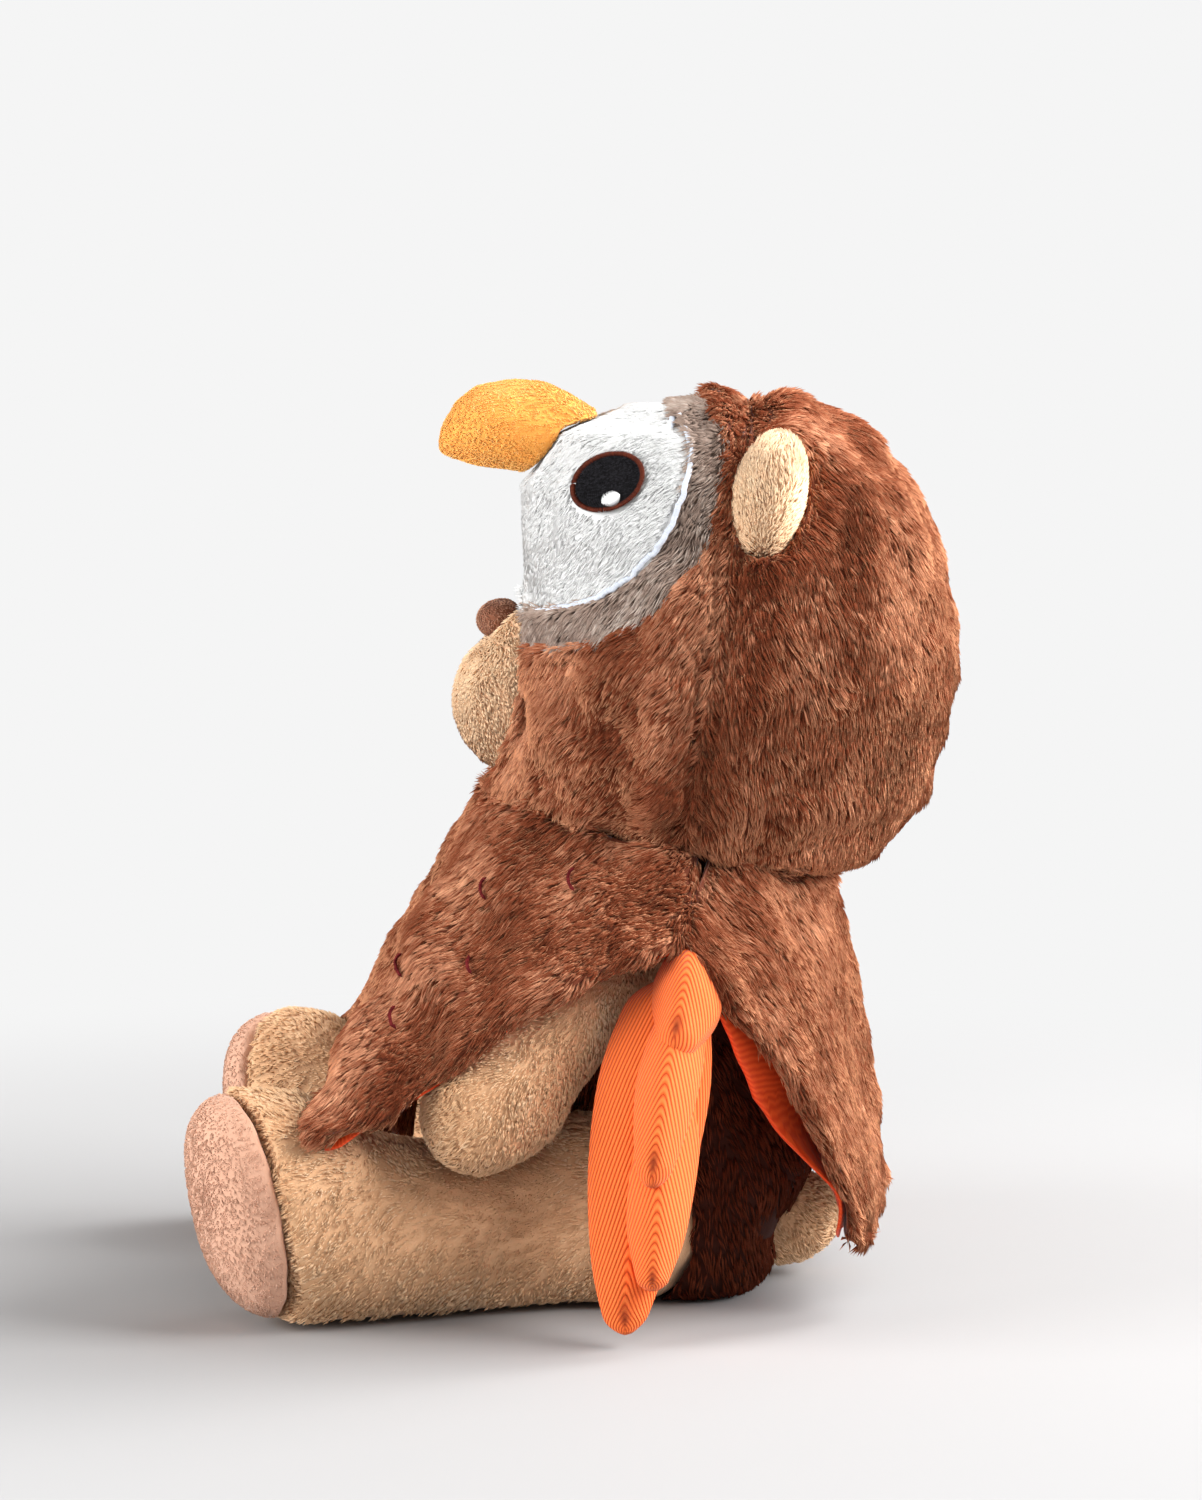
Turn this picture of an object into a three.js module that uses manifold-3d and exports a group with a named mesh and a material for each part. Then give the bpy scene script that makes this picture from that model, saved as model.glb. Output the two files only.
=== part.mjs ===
// A seated teddy bear dressed as an eagle: hood with a padded beak, lined poncho and two corduroy wings.
// Millimetres, +Z up. The bear faces -Y, its left side is +X, and it sits on Z = 0.

import * as THREE from 'three';
import { mergeVertices } from 'three/addons/utils/BufferGeometryUtils.js';
import Module from 'manifold-3d';

const wasm = await Module();
wasm.setup();

// Cloth thicknesses and the clearances between sewn pieces
const PLUSH = 4;
const LINING = 1;
const SUIT_CLOTH = 2;
const STITCH = 0.8;
const GAP = 0.4;
const JOINT_GAP = 0.6;
const FLOOR_FLAT = 0.5;

// Torso, and the slanted neckline on which the head turns
const BODY_WIDTH = 114;
const BODY_DEPTH = 78;
const BODY_Y = 31;
const BODY_HEIGHT = 142;
const NECK_HEIGHT = 128.5;
const NECK_Y = 36;
const NECK_TILT = 13.2;

// Hooded head
const HOOD_WIDTH = 140;
const HOOD_FRONT = 68;
const HOOD_BACK = 73;
const HOOD_HEIGHT = 139;
const HOOD_BELOW_NECK = 12;
const HOOD_SEAM_BACK = 3;
const HOOD_SEAM_LEAN = 9;
const HOOD_FOLD = 3.2;

// Face of the bear
const MUZZLE_WIDTH = 58;
const MUZZLE_HEIGHT = 48;
const MUZZLE_LENGTH = 62;
const MUZZLE_FORWARD = 41;
const MUZZLE_RISE = 40.5;
const OPENING_EASE = 6;
const NOSE_WIDTH = 22;
const NOSE_HEIGHT = 10.5;
const NOSE_LENGTH = 13;
const NOSE_DROP = 1.6;
const BEAD_EYE = 8;
const BEAD_EYE_SPACING = 44;
const BEAD_EYE_RISE = 15;
const EAR_HEIGHT = 38;
const EAR_THICKNESS = 19;
const EAR_REACH = 27;
const EAR_BACK = 17.5;
const EAR_BELOW_CROWN = 28;
const EAR_LEAN = 12.6;
const EAR_TURN = 17;

// Face of the eagle, measured down from the crown of the hood
const PATCH_FRONT_DROP = 60;
const PATCH_BACK_DROP = 12;
const PATCH_BACK_FORWARD = 4;
const BAND_WIDTH = 10.2;
const BEAK_LENGTH = 46;
const BEAK_HEIGHT = 28.5;
const BEAK_WIDTH = 36;
const BEAK_FORWARD = 30;
const BEAK_DROP = 16;
const MASK_EYE_LENGTH = 20;
const MASK_EYE_HEIGHT = 14;
const MASK_EYE_TILT = 25;
const MASK_EYE_FORWARD = 26.4;
const MASK_EYE_DROP = 24;

// Legs, splayed out from ball-shaped hips
const LEG_LENGTH = 106;
const LEG_WIDTH = 51;
const LEG_HEIGHT = 51;
const LEG_SPLAY = 22.4;
const FOOT_WIDTH = 59;
const FOOT_HEIGHT = 68;
const SOLE_LEAN = 10;
const SOLE_BULGE = 16;
const HIP_INSET = 21;
const HIP_SETBACK = 18;
const HIP_MARGIN = 4;

// Arms, hung from ball-shaped shoulders
const ARM_LENGTH = 69;
const ARM_WIDTH = 30;
const PAW_WIDTH = 35;
const ARM_OUT = 28.5;
const ARM_DOWN = 47.5;
const SHOULDER_BALL = 15.5;
const SHOULDER_INSET = 8.5;
const SHOULDER_SETBACK = 24;
const SHOULDER_DROP = 24;

// Tail
const TAIL_WIDTH = 28;
const TAIL_LENGTH = 26;
const TAIL_HEIGHT = 25;
const TAIL_CLEAR = 1.5;
const TAIL_INSET = 9;

// Poncho: how far its edges hang from the shoulder, the arm, the leg and the neck
const APEX_OUT = 31;
const APEX_BACK = 13;
const APEX_RISE = 4;
const ARM_COVER = 27;
const ARM_COVER_BACK = 0.2;
const ARM_COVER_UP = 0.6;
const PAW_COVER = 14;
const PAW_COVER_BACK = 2.8;
const HEM_PAW_TOP = 0.75;
const HEM_PAW_FRONT = 0.66;
const HEM_PAW_LOW = 0.12;
const CORNER_ALONG = 95;
const CORNER_DROP = 10.5;
const HEM_OVER_LEG = 7.5;
const HEM_LEG_SHARE = 0.77;
const HEM_FRONT_FORWARD = 45;
const HEM_FRONT_HEIGHT = 38;
const HEM_BACK_REACH = 22;
const HEM_BACK_HEIGHT = 29;
const HEM_BACK_WIDTH = 132;
const HEM_BACK_CORNER_HEIGHT = 19;
const PONCHO_BULGE = 4;
const PONCHO_FOLD = 3;
const FRONT_PLEAT = 3.6;
const FRONT_PLEATS = 8;
const CORNER_IN = 1;
const LINING_HEM = 0.02;
const PANEL_COLUMNS = 32;
const PANEL_ROWS = 4;

// Wings: the tip of each feather, measured out and forward from the wing's root and up from the floor
const WING_ROOT = 5;
const WING_FORWARD = 4;
const FEATHER_FLAT = 0.8;
const FEATHER_START = 0.04;
const FEATHER_STEP = 0.09;
const FEATHER_SEGMENTS = 10;
const WING_TIPS = [
  { out: 29, forward: -4, height: 79.5, thick: 19 },
  { out: 37, forward: 5, height: 44.5, thick: 26 },
  { out: 40, forward: 5, height: 15, thick: 27 },
  { out: 36, forward: 12, height: 1.2, thick: 23 },
];

const BROWN = 0xa25a3a;
const DARK_BROWN = 0x6a3a26;
const BEIGE = 0xd2ae82;
const SOLE_PINK = 0xcc9c84;
const ORANGE = 0xee7333;
const LINING_ORANGE = 0xe84c1c;
const BEAK_YELLOW = 0xf2aa4a;
const WHITE = 0xf1efec;
const GREY = 0xa39486;
const EYE_BLACK = 0x35353a;

const V = (x, y, z) => new THREE.Vector3(x, y, z);
const degrees = THREE.MathUtils.degToRad;
const mix = THREE.MathUtils.lerp;
const bear = new THREE.Group();

// Points and triangles as a closed mesh whose faces look outwards
function closedMesh(points, triangles) {
  let volume = 0;
  for (let i = 0; i < triangles.length; i += 3) {
    const [a, b, c] = [0, 1, 2].map((k) => points[triangles[i + k]]);
    volume += a.dot(b.clone().cross(c));
  }
  const geometry = new THREE.BufferGeometry().setFromPoints(points);
  geometry.setIndex(volume > 0 ? triangles : triangles.slice().reverse());
  return geometry;
}

function centreOf(ring) {
  const sum = ring.reduce((total, point) => total.add(point), V(0, 0, 0));
  return sum.divideScalar(ring.length);
}

// Skin over rings of equal count, closed at each end on a pole or on the middle of its ring
function loft(rings, startPole = centreOf(rings[0]), endPole = centreOf(rings.at(-1))) {
  const count = rings[0].length;
  const points = [...rings.flat(), startPole, endPole];
  const start = points.length - 2;
  const end = points.length - 1;
  const lastRing = (rings.length - 1) * count;
  const triangles = [];
  for (let j = 0; j < count; j++) {
    const next = (j + 1) % count;
    for (let i = 0; i < rings.length - 1; i++) {
      const low = i * count;
      const high = low + count;
      triangles.push(low + j, low + next, high + next, low + j, high + next, high + j);
    }
    triangles.push(start, next, j, end, lastRing + j, lastRing + next);
  }
  return closedMesh(points, triangles);
}

function toSolid(geometry) {
  const bare = geometry.clone();
  bare.deleteAttribute('normal');
  bare.deleteAttribute('uv');
  const merged = mergeVertices(bare);
  const vertProperties = new Float32Array(merged.attributes.position.array);
  const triVerts = new Uint32Array(merged.index.array);
  return new wasm.Manifold(new wasm.Mesh({ numProp: 3, vertProperties, triVerts }));
}

function toGeometry(solid) {
  const mesh = solid.getMesh();
  const geometry = new THREE.BufferGeometry();
  geometry.setAttribute('position', new THREE.BufferAttribute(mesh.vertProperties, 3));
  geometry.setIndex(new THREE.BufferAttribute(mesh.triVerts, 1));
  return geometry;
}

function mirrored(geometry) {
  const copy = geometry.clone().scale(-1, 1, 1);
  copy.setIndex(Array.from(copy.index.array).reverse());
  return copy;
}

function add(name, geometry, color, roughness = 0.95) {
  const material = new THREE.MeshStandardMaterial({ color, roughness, metalness: 0 });
  const mesh = new THREE.Mesh(geometry, material);
  mesh.name = name;
  bear.add(mesh);
}

function addPair(name, geometry, color, roughness) {
  add(`${name}_left`, geometry, color, roughness);
  add(`${name}_right`, mirrored(geometry), color, roughness);
}

function power(value, exponent) {
  return Math.sign(value) * Math.abs(value) ** exponent;
}

// Point of a rounded-square section, from 0 to 1 along each axis
function section(angle, squareness) {
  const exponent = 2 / squareness;
  return [power(Math.cos(angle), exponent), power(Math.sin(angle), exponent)];
}

function ringAngles(count) {
  return Array.from({ length: count }, (_, j) => ((j + 0.5) * 2 * Math.PI) / count);
}

function ellipsoid(centre, width, depth, height, lean = 0, segments = 14, rings = 10) {
  const geometry = new THREE.SphereGeometry(0.5, segments, rings);
  geometry.rotateX(Math.PI / 2).scale(width, depth, height);
  return geometry.rotateX(-degrees(lean)).translate(centre.x, centre.y, centre.z);
}

// Ball of a limb, with its poles on the axis that the limb turns about
function ball(centre, radius, axis, segments, rings) {
  const turn = new THREE.Quaternion().setFromUnitVectors(V(0, 1, 0), axis);
  const geometry = new THREE.SphereGeometry(radius, segments, rings).applyQuaternion(turn);
  return toSolid(geometry.translate(...centre.toArray()));
}

// An upright stuffed form.
// Each row holds a height, a half-width and a reach forward and back, as shares of its size
class SoftForm {
  constructor(size, rows, squareness) {
    Object.assign(this, { size, squareness });
    this.rise = new THREE.CatmullRomCurve3(rows.map(([height]) => V(0, 0, height)));
    this.girth = new THREE.CatmullRomCurve3(rows.map(([, half, front, back]) => V(half, front, back)));
  }

  point(t, angle, inset) {
    const { y, base, height, half, front, back } = this.size;
    const share = this.girth.getPoint(t);
    const [across, along] = section(angle, this.squareness);
    const reach = along < 0 ? front * share.y : back * share.z;
    const rise = this.rise.getPoint(t).z;
    return V(
      across * (half * share.x - inset),
      y + along * (reach - inset),
      base + inset + rise * (height - 2 * inset),
    );
  }

  // Every second column of the back stands out by the fold, most at half height and behind
  geometry(inset, rings, segments, fold = 0) {
    const angles = ringAngles(segments);
    const skin = Array.from({ length: rings }, (_, i) => angles.map((angle, column) => {
      const t = i / (rings - 1);
      const raised = (column % 2) * fold * Math.sin(Math.PI * t) * Math.max(Math.sin(angle), 0) ** 0.5;
      return this.point(t, angle, inset - raised);
    }));
    const crown = centreOf(skin.at(-1));
    crown.z = this.size.base + this.size.height - inset;
    return loft(skin, undefined, crown);
  }

  // Place along the angle where the skin crosses a falling level
  crossing(angle, inset, height) {
    let [low, high] = [0, 0.6];
    for (let i = 0; i < 40; i++) {
      const middle = (low + high) / 2;
      const point = this.point(middle, angle, inset);
      [low, high] = point.z < height(point) ? [middle, high] : [low, middle];
    }
    return this.point(low, angle, inset);
  }

  // Frontmost point of the skin at a distance from the middle plane and a height
  front(x, z, inset) {
    let [near, far] = [-Math.PI / 2, 0];
    let found = null;
    for (let i = 0; i < 40; i++) {
      const angle = (near + far) / 2;
      found = this.crossingFromAbove(angle, inset, z);
      [near, far] = found.x < x ? [angle, far] : [near, angle];
    }
    return found;
  }

  crossingFromAbove(angle, inset, z) {
    let [low, high] = [0.2, 1];
    for (let i = 0; i < 40; i++) {
      const middle = (low + high) / 2;
      [low, high] = this.point(middle, angle, inset).z < z ? [middle, high] : [low, middle];
    }
    return this.point(low, angle, inset);
  }
}

// Cutting blocks
const BLOCK = 600;

function block(turnX, centre) {
  return toSolid(new THREE.BoxGeometry(BLOCK, BLOCK, BLOCK).rotateX(turnX).translate(...centre.toArray()));
}

const neckTilt = degrees(NECK_TILT);
const neckNormal = V(0, Math.sin(neckTilt), Math.cos(neckTilt));
const neckLevel = (point) => NECK_HEIGHT - Math.tan(neckTilt) * (point.y - NECK_Y);

function aboveNeck(offset) {
  const centre = V(0, NECK_Y, NECK_HEIGHT).addScaledVector(neckNormal, offset + BLOCK / 2);
  return block(-neckTilt, centre);
}

function underFloor() {
  return block(0, V(0, 0, -BLOCK / 2));
}

// Prism across the bear from an outline in Y and Z
function sidePrism(outline, curveSegments, start, end) {
  const depth = end - start;
  const geometry = new THREE.ExtrudeGeometry(outline, { depth, curveSegments, bevelEnabled: false });
  const across = new THREE.Matrix4().makeBasis(V(0, 1, 0), V(0, 0, 1), V(1, 0, 0));
  return toSolid(geometry.applyMatrix4(across).translate(start, 0, 0));
}

// Prism through the face from an outline in X and Z
function frontPrism(outline, curveSegments, back, front) {
  const depth = back - front;
  const geometry = new THREE.ExtrudeGeometry(outline, { depth, curveSegments, bevelEnabled: false });
  const through = new THREE.Matrix4().makeBasis(V(1, 0, 0), V(0, 0, 1), V(0, -1, 0));
  return toSolid(geometry.applyMatrix4(through).translate(0, back, 0));
}

// Torso in its suit: pear-shaped, flat on the seat
const body = new SoftForm(
  {
    y: BODY_Y,
    base: 0,
    height: BODY_HEIGHT,
    half: BODY_WIDTH / 2,
    front: BODY_DEPTH / 2,
    back: BODY_DEPTH / 2,
  },
  [
    [0, 0.78, 0.8, 0.66],
    [0.06, 0.93, 0.93, 0.76],
    [0.24, 1, 1, 0.84],
    [0.45, 0.97, 0.98, 0.86],
    [0.66, 0.85, 0.88, 0.83],
    [0.8, 0.74, 0.76, 0.78],
    [0.95, 0.6, 0.6, 0.64],
  ],
  2.2,
);
const BODY_RINGS = 8;
const BODY_SEGMENTS = 16;
const bodySolid = (inset) => toSolid(body.geometry(inset, BODY_RINGS, BODY_SEGMENTS));

// Leg frame: along the leg, sideways out from its middle, and up
const hip = V(BODY_WIDTH / 2 - HIP_INSET, BODY_Y - BODY_DEPTH / 2 + HIP_SETBACK, LEG_HEIGHT / 2);
const legAlong = V(Math.sin(degrees(LEG_SPLAY)), -Math.cos(degrees(LEG_SPLAY)), 0);
const legOut = V(Math.cos(degrees(LEG_SPLAY)), Math.sin(degrees(LEG_SPLAY)), 0);
const hipBall = LEG_HEIGHT / 2 + HIP_MARGIN;

function legPoint(along, out, up) {
  return V(hip.x, hip.y, 0).addScaledVector(legAlong, along).addScaledVector(legOut, out).setZ(up);
}

// Thickness of the leg: 0 for the slim shin, 1 for the foot
const footShare = (t) => THREE.MathUtils.smoothstep(t, 0.6, 0.95);
const legHeight = (t) => mix(LEG_HEIGHT - 2 * Math.sin(Math.PI * t), FOOT_HEIGHT, footShare(t));
const legWidth = (t) => mix(LEG_WIDTH, FOOT_WIDTH, footShare(t));

function legRing(t, segments, grow = 0, forward = 0) {
  const high = legHeight(t) / 2;
  const lean = Math.tan(degrees(SOLE_LEAN)) * t ** 4;
  return ringAngles(segments).map((angle) => {
    const [across, up] = section(angle, 2.2);
    const rise = up * (high + grow);
    const along = t * LEG_LENGTH + lean * rise + forward;
    return legPoint(along, across * (legWidth(t) / 2 + grow), high - FLOOR_FLAT + rise);
  });
}

const LEG_RINGS = 8;
const LEG_SEGMENTS = 14;
const legRings = Array.from({ length: LEG_RINGS }, (_, i) => legRing(i / (LEG_RINGS - 1), LEG_SEGMENTS));
const hipSphere = (radius) => ball(hip, radius, V(0, 0, 1), 20, 8);
const leg = toSolid(loft(legRings)).add(hipSphere(hipBall)).subtract(underFloor());

// Sole: a domed pad sewn into the open end of the foot
const SOLE_RINGS = 5;
const SOLE_EDGE = 1.5;
const soleRings = Array.from({ length: SOLE_RINGS }, (_, i) => {
  const climb = (i / SOLE_RINGS) * (Math.PI / 2);
  const shrink = -SOLE_EDGE - (FOOT_WIDTH / 2 - SOLE_EDGE) * (1 - Math.cos(climb) ** 0.7);
  return legRing(1, LEG_SEGMENTS, shrink, GAP + SOLE_BULGE * Math.sin(climb));
});
const solePole = centreOf(legRing(1, LEG_SEGMENTS, 0, GAP + SOLE_BULGE));
const sole = loft(soleRings, undefined, solePole);

// Arm: from the shoulder ball down, out and forward to a round paw
const shoulder = V(
  BODY_WIDTH / 2 - SHOULDER_INSET,
  BODY_Y - BODY_DEPTH / 2 + SHOULDER_SETBACK,
  NECK_HEIGHT - SHOULDER_DROP,
);
const armAlong = V(
  Math.sin(degrees(ARM_OUT)),
  -Math.cos(degrees(ARM_OUT)) * Math.cos(degrees(ARM_DOWN)),
  -Math.cos(degrees(ARM_OUT)) * Math.sin(degrees(ARM_DOWN)),
).normalize();
const paw = shoulder.clone().addScaledVector(armAlong, ARM_LENGTH);
const armMiddle = shoulder.clone().lerp(paw, 0.5);

// Section square to a direction, flattened sideways when asked
function roundRing(centre, along, radius, segments, flat = 1) {
  const side = V(0, 1, 0).cross(along).normalize();
  const fore = along.clone().cross(side);
  return ringAngles(segments).map((angle) => centre.clone()
    .addScaledVector(side, radius * flat * Math.cos(angle))
    .addScaledVector(fore, radius * Math.sin(angle)));
}

const ARM_SEGMENTS = 12;
const ARM_ROOT = 0.7;

function armForm() {
  const rings = [];
  const steps = 4;
  for (let i = 0; i <= steps; i++) {
    const t = i / steps;
    const swell = mix(ARM_WIDTH, PAW_WIDTH, THREE.MathUtils.smoothstep(t, 0.3, 1)) / 2;
    const radius = i === 0 ? ARM_ROOT * swell : swell;
    rings.push(roundRing(shoulder.clone().lerp(paw, t), armAlong, radius, ARM_SEGMENTS));
  }
  const roundSteps = 4;
  for (let i = 1; i < roundSteps; i++) {
    const turn = (i / roundSteps) * (Math.PI / 2);
    const centre = paw.clone().addScaledVector(armAlong, (PAW_WIDTH / 2) * Math.sin(turn));
    rings.push(roundRing(centre, armAlong, (PAW_WIDTH / 2) * Math.cos(turn), ARM_SEGMENTS));
  }
  return loft(rings, undefined, paw.clone().addScaledVector(armAlong, PAW_WIDTH / 2));
}

const shoulderSphere = (radius) => ball(shoulder, radius, V(1, 0, 0), 16, 6);
const arm = toSolid(armForm()).add(shoulderSphere(SHOULDER_BALL));

// Sockets for the limbs go through the suit into the torso, and the neck is left open
function withSockets(solid) {
  let cut = solid.subtract(aboveNeck(-JOINT_GAP / 2));
  const sockets = [hipSphere(hipBall + JOINT_GAP), shoulderSphere(SHOULDER_BALL + JOINT_GAP)];
  for (const socket of sockets) {
    const twin = toSolid(mirrored(toGeometry(socket)));
    cut = cut.subtract(socket).subtract(twin);
  }
  return cut;
}

add('body', toGeometry(withSockets(bodySolid(SUIT_CLOTH + GAP))), BEIGE);
add('bodysuit', toGeometry(withSockets(bodySolid(0).subtract(bodySolid(SUIT_CLOTH)))), DARK_BROWN);
addPair('leg', toGeometry(leg), BEIGE);
addPair('foot_pad', sole, SOLE_PINK);
addPair('arm', toGeometry(arm), BEIGE);

const tailCentre = V(0, BODY_Y + BODY_DEPTH / 2 - TAIL_INSET, TAIL_HEIGHT / 2 + TAIL_CLEAR);
const tail = toSolid(ellipsoid(tailCentre, TAIL_WIDTH, TAIL_LENGTH, TAIL_HEIGHT, 0, 14, 10));
add('tail', toGeometry(tail.subtract(bodySolid(-GAP))), BEIGE);

// Hooded head: the lining and the head follow the hood from inside
const hood = new SoftForm(
  {
    y: NECK_Y,
    base: NECK_HEIGHT - HOOD_BELOW_NECK,
    height: HOOD_HEIGHT,
    half: HOOD_WIDTH / 2,
    front: HOOD_FRONT,
    back: HOOD_BACK,
  },
  [
    [0.01, 0.57, 0.65, 0.52],
    [0.07, 0.77, 0.85, 0.71],
    [0.18, 0.9, 0.94, 0.89],
    [0.37, 1, 0.87, 0.98],
    [0.49, 1, 0.8, 1],
    [0.61, 0.97, 0.76, 0.96],
    [0.72, 0.92, 0.77, 0.91],
    [0.83, 0.81, 0.75, 0.81],
    [0.93, 0.63, 0.6, 0.65],
    [0.985, 0.36, 0.28, 0.45],
  ],
  2.3,
);
const HOOD_RINGS = 10;
const HOOD_SEGMENTS = 18;
const hoodLayer = (inset) => toSolid(hood.geometry(inset, HOOD_RINGS, HOOD_SEGMENTS));
const FOLD_SEGMENTS = 28;
const foldedHood = toSolid(hood.geometry(0, HOOD_RINGS, FOLD_SEGMENTS, HOOD_FOLD));
const crown = hood.size.base + HOOD_HEIGHT;
const liningInset = PLUSH + GAP;
const headInset = liningInset + LINING + GAP;
const headSide = aboveNeck(JOINT_GAP / 2);
const head = hoodLayer(headInset).intersect(headSide);

// The face opening is an oval round the muzzle
const muzzleCentre = V(0, NECK_Y - MUZZLE_FORWARD, NECK_HEIGHT + MUZZLE_RISE);
const muzzleForm = (grow) =>
  ellipsoid(muzzleCentre, MUZZLE_WIDTH + 2 * grow, MUZZLE_LENGTH + 2 * grow, MUZZLE_HEIGHT + 2 * grow, -8);
const openingOutline = new THREE.Shape();
openingOutline.absellipse(
  0,
  muzzleCentre.z,
  MUZZLE_WIDTH / 2 + OPENING_EASE,
  MUZZLE_HEIGHT / 2 + OPENING_EASE,
  0,
  2 * Math.PI,
);
const opening = frontPrism(openingOutline, 10, NECK_Y, NECK_Y - BLOCK / 2);

// Edge of the eagle's face seen from the side: a curve up from the face opening to the crown
function faceOutline(grow) {
  const front = NECK_Y - MUZZLE_FORWARD;
  const back = NECK_Y - PATCH_BACK_FORWARD;
  const low = crown - PATCH_FRONT_DROP;
  const high = crown - PATCH_BACK_DROP;
  const edge = [
    [mix(front, back, -0.17), low - 0.5],
    [mix(front, back, 0.17), mix(low, high, 0.045)],
    [mix(front, back, 0.54), mix(low, high, 0.19)],
    [mix(front, back, 0.81), mix(low, high, 0.42)],
    [mix(front, back, 0.96), mix(low, high, 0.72)],
    [back, high],
    [mix(front, back, 0.9), mix(low, high, 1.15)],
  ].map(([y, z]) => new THREE.Vector2(y, z));
  const grown = edge.map((point, i) => {
    const before = edge[Math.max(i - 1, 0)];
    const after = edge[Math.min(i + 1, edge.length - 1)];
    const run = after.clone().sub(before).normalize();
    return new THREE.Vector2(point.x + run.y * grow, point.y - run.x * grow);
  });
  const far = NECK_Y - 2 * HOOD_FRONT;
  const outline = new THREE.Shape();
  outline.moveTo(far, grown[0].y);
  outline.lineTo(grown[0].x, grown[0].y);
  outline.splineThru(grown.slice(1));
  outline.lineTo(grown.at(-1).x, crown + HOOD_HEIGHT);
  outline.lineTo(far, crown + HOOD_HEIGHT);
  return outline;
}

const facePrism = (grow) => sidePrism(faceOutline(grow), 2, -HOOD_WIDTH, HOOD_WIDTH);

// The side seam of the hood leans back as it climbs
function behindSeam(offset) {
  const lean = degrees(HOOD_SEAM_LEAN);
  const middle = hood.size.base + HOOD_HEIGHT / 2;
  const normal = V(0, Math.cos(lean), -Math.sin(lean));
  const centre = V(0, NECK_Y + HOOD_SEAM_BACK, middle).addScaledVector(normal, offset + BLOCK / 2);
  return block(-lean, centre);
}

const earCentre = hood.crossingFromAbove(degrees(EAR_TURN), PLUSH, crown - EAR_BELOW_CROWN);
earCentre.y = NECK_Y + EAR_BACK;
const earForm = (grow) => toSolid(ellipsoid(
  earCentre,
  2 * (EAR_REACH + grow),
  EAR_THICKNESS + 2 * grow,
  EAR_HEIGHT + 2 * grow,
  EAR_LEAN,
));
const earHole = earForm(GAP);
const earHoles = earHole.add(toSolid(mirrored(toGeometry(earHole))));

const hoodShell = (outside) => outside.subtract(hoodLayer(PLUSH)).intersect(headSide).subtract(earHoles);
const frontShell = hoodShell(hoodLayer(0)).subtract(behindSeam(-GAP / 2)).subtract(opening);
const liningShell = hoodLayer(liningInset).subtract(hoodLayer(liningInset + LINING));
const lining = liningShell.intersect(headSide).subtract(earHoles).subtract(opening);

add('head', toGeometry(head), BEIGE);
add('hood_back', toGeometry(hoodShell(foldedHood).intersect(behindSeam(GAP / 2))), BROWN);
add('hood_front', toGeometry(frontShell.subtract(facePrism(BAND_WIDTH + GAP / 2))), BROWN);
const bandOuter = facePrism(BAND_WIDTH - GAP / 2);
add('face_band', toGeometry(frontShell.intersect(bandOuter).subtract(facePrism(GAP / 2))), GREY);
add('face_patch', toGeometry(frontShell.intersect(facePrism(-GAP / 2))), WHITE);
add('hood_lining', toGeometry(lining), LINING_ORANGE);
addPair('ear', toGeometry(earForm(0).subtract(hoodLayer(headInset - GAP))), BEIGE);

// Muzzle, nose and bead eyes sit on the head inside the opening
const muzzle = toSolid(muzzleForm(0)).subtract(hoodLayer(headInset - GAP));
add('muzzle', toGeometry(muzzle), BEIGE);
const noseTop = muzzleCentre.z + MUZZLE_HEIGHT / 2 - NOSE_DROP;
const noseCentre = V(0, muzzleCentre.y - MUZZLE_LENGTH / 4 - 2, noseTop);
const nose = toSolid(ellipsoid(noseCentre, NOSE_WIDTH, NOSE_LENGTH, NOSE_HEIGHT, -20, 14, 10));
add('nose', toGeometry(nose.subtract(toSolid(muzzleForm(GAP)))), DARK_BROWN, 0.7);
const eyeCentre = hood.front(BEAD_EYE_SPACING / 2, muzzleCentre.z + BEAD_EYE_RISE, headInset);
const bead = toSolid(ellipsoid(eyeCentre, BEAD_EYE, BEAD_EYE * 0.6, BEAD_EYE, 0, 12, 8));
const beadEye = bead.subtract(hoodLayer(headInset - GAP)).subtract(toSolid(muzzleForm(GAP)));
addPair('bead_eye', toGeometry(beadEye), EYE_BLACK, 0.2);

// Beak: a padded hook over the brow.
// Each row gives its reach, middle height, half-height and half-width, as shares of its size
const BEAK_ROWS = [
  [0, -0.02, 0.46, 0.42],
  [0.16, 0.1, 0.5, 0.46],
  [0.33, 0.19, 0.52, 0.49],
  [0.55, 0.26, 0.49, 0.5],
  [0.75, 0.27, 0.42, 0.46],
  [0.89, 0.22, 0.3, 0.34],
  [0.97, 0.14, 0.17, 0.2],
];
const BEAK_TIP = 0.07;
const BEAK_SEGMENTS = 12;
const beakBase = V(0, NECK_Y - BEAK_FORWARD, crown - BEAK_DROP);
const beakRings = BEAK_ROWS.map(([reach, middle, high, half]) => ringAngles(BEAK_SEGMENTS).map((angle) => V(
  beakBase.x + half * BEAK_WIDTH * Math.cos(angle),
  beakBase.y - reach * BEAK_LENGTH,
  beakBase.z + (middle + high * Math.sin(angle)) * BEAK_HEIGHT,
)));
const beakTip = beakBase.clone().add(V(0, -BEAK_LENGTH, BEAK_TIP * BEAK_HEIGHT));
const beak = toSolid(loft(beakRings, undefined, beakTip)).subtract(hoodLayer(-GAP));
add('beak', toGeometry(beak), BEAK_YELLOW);

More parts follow.
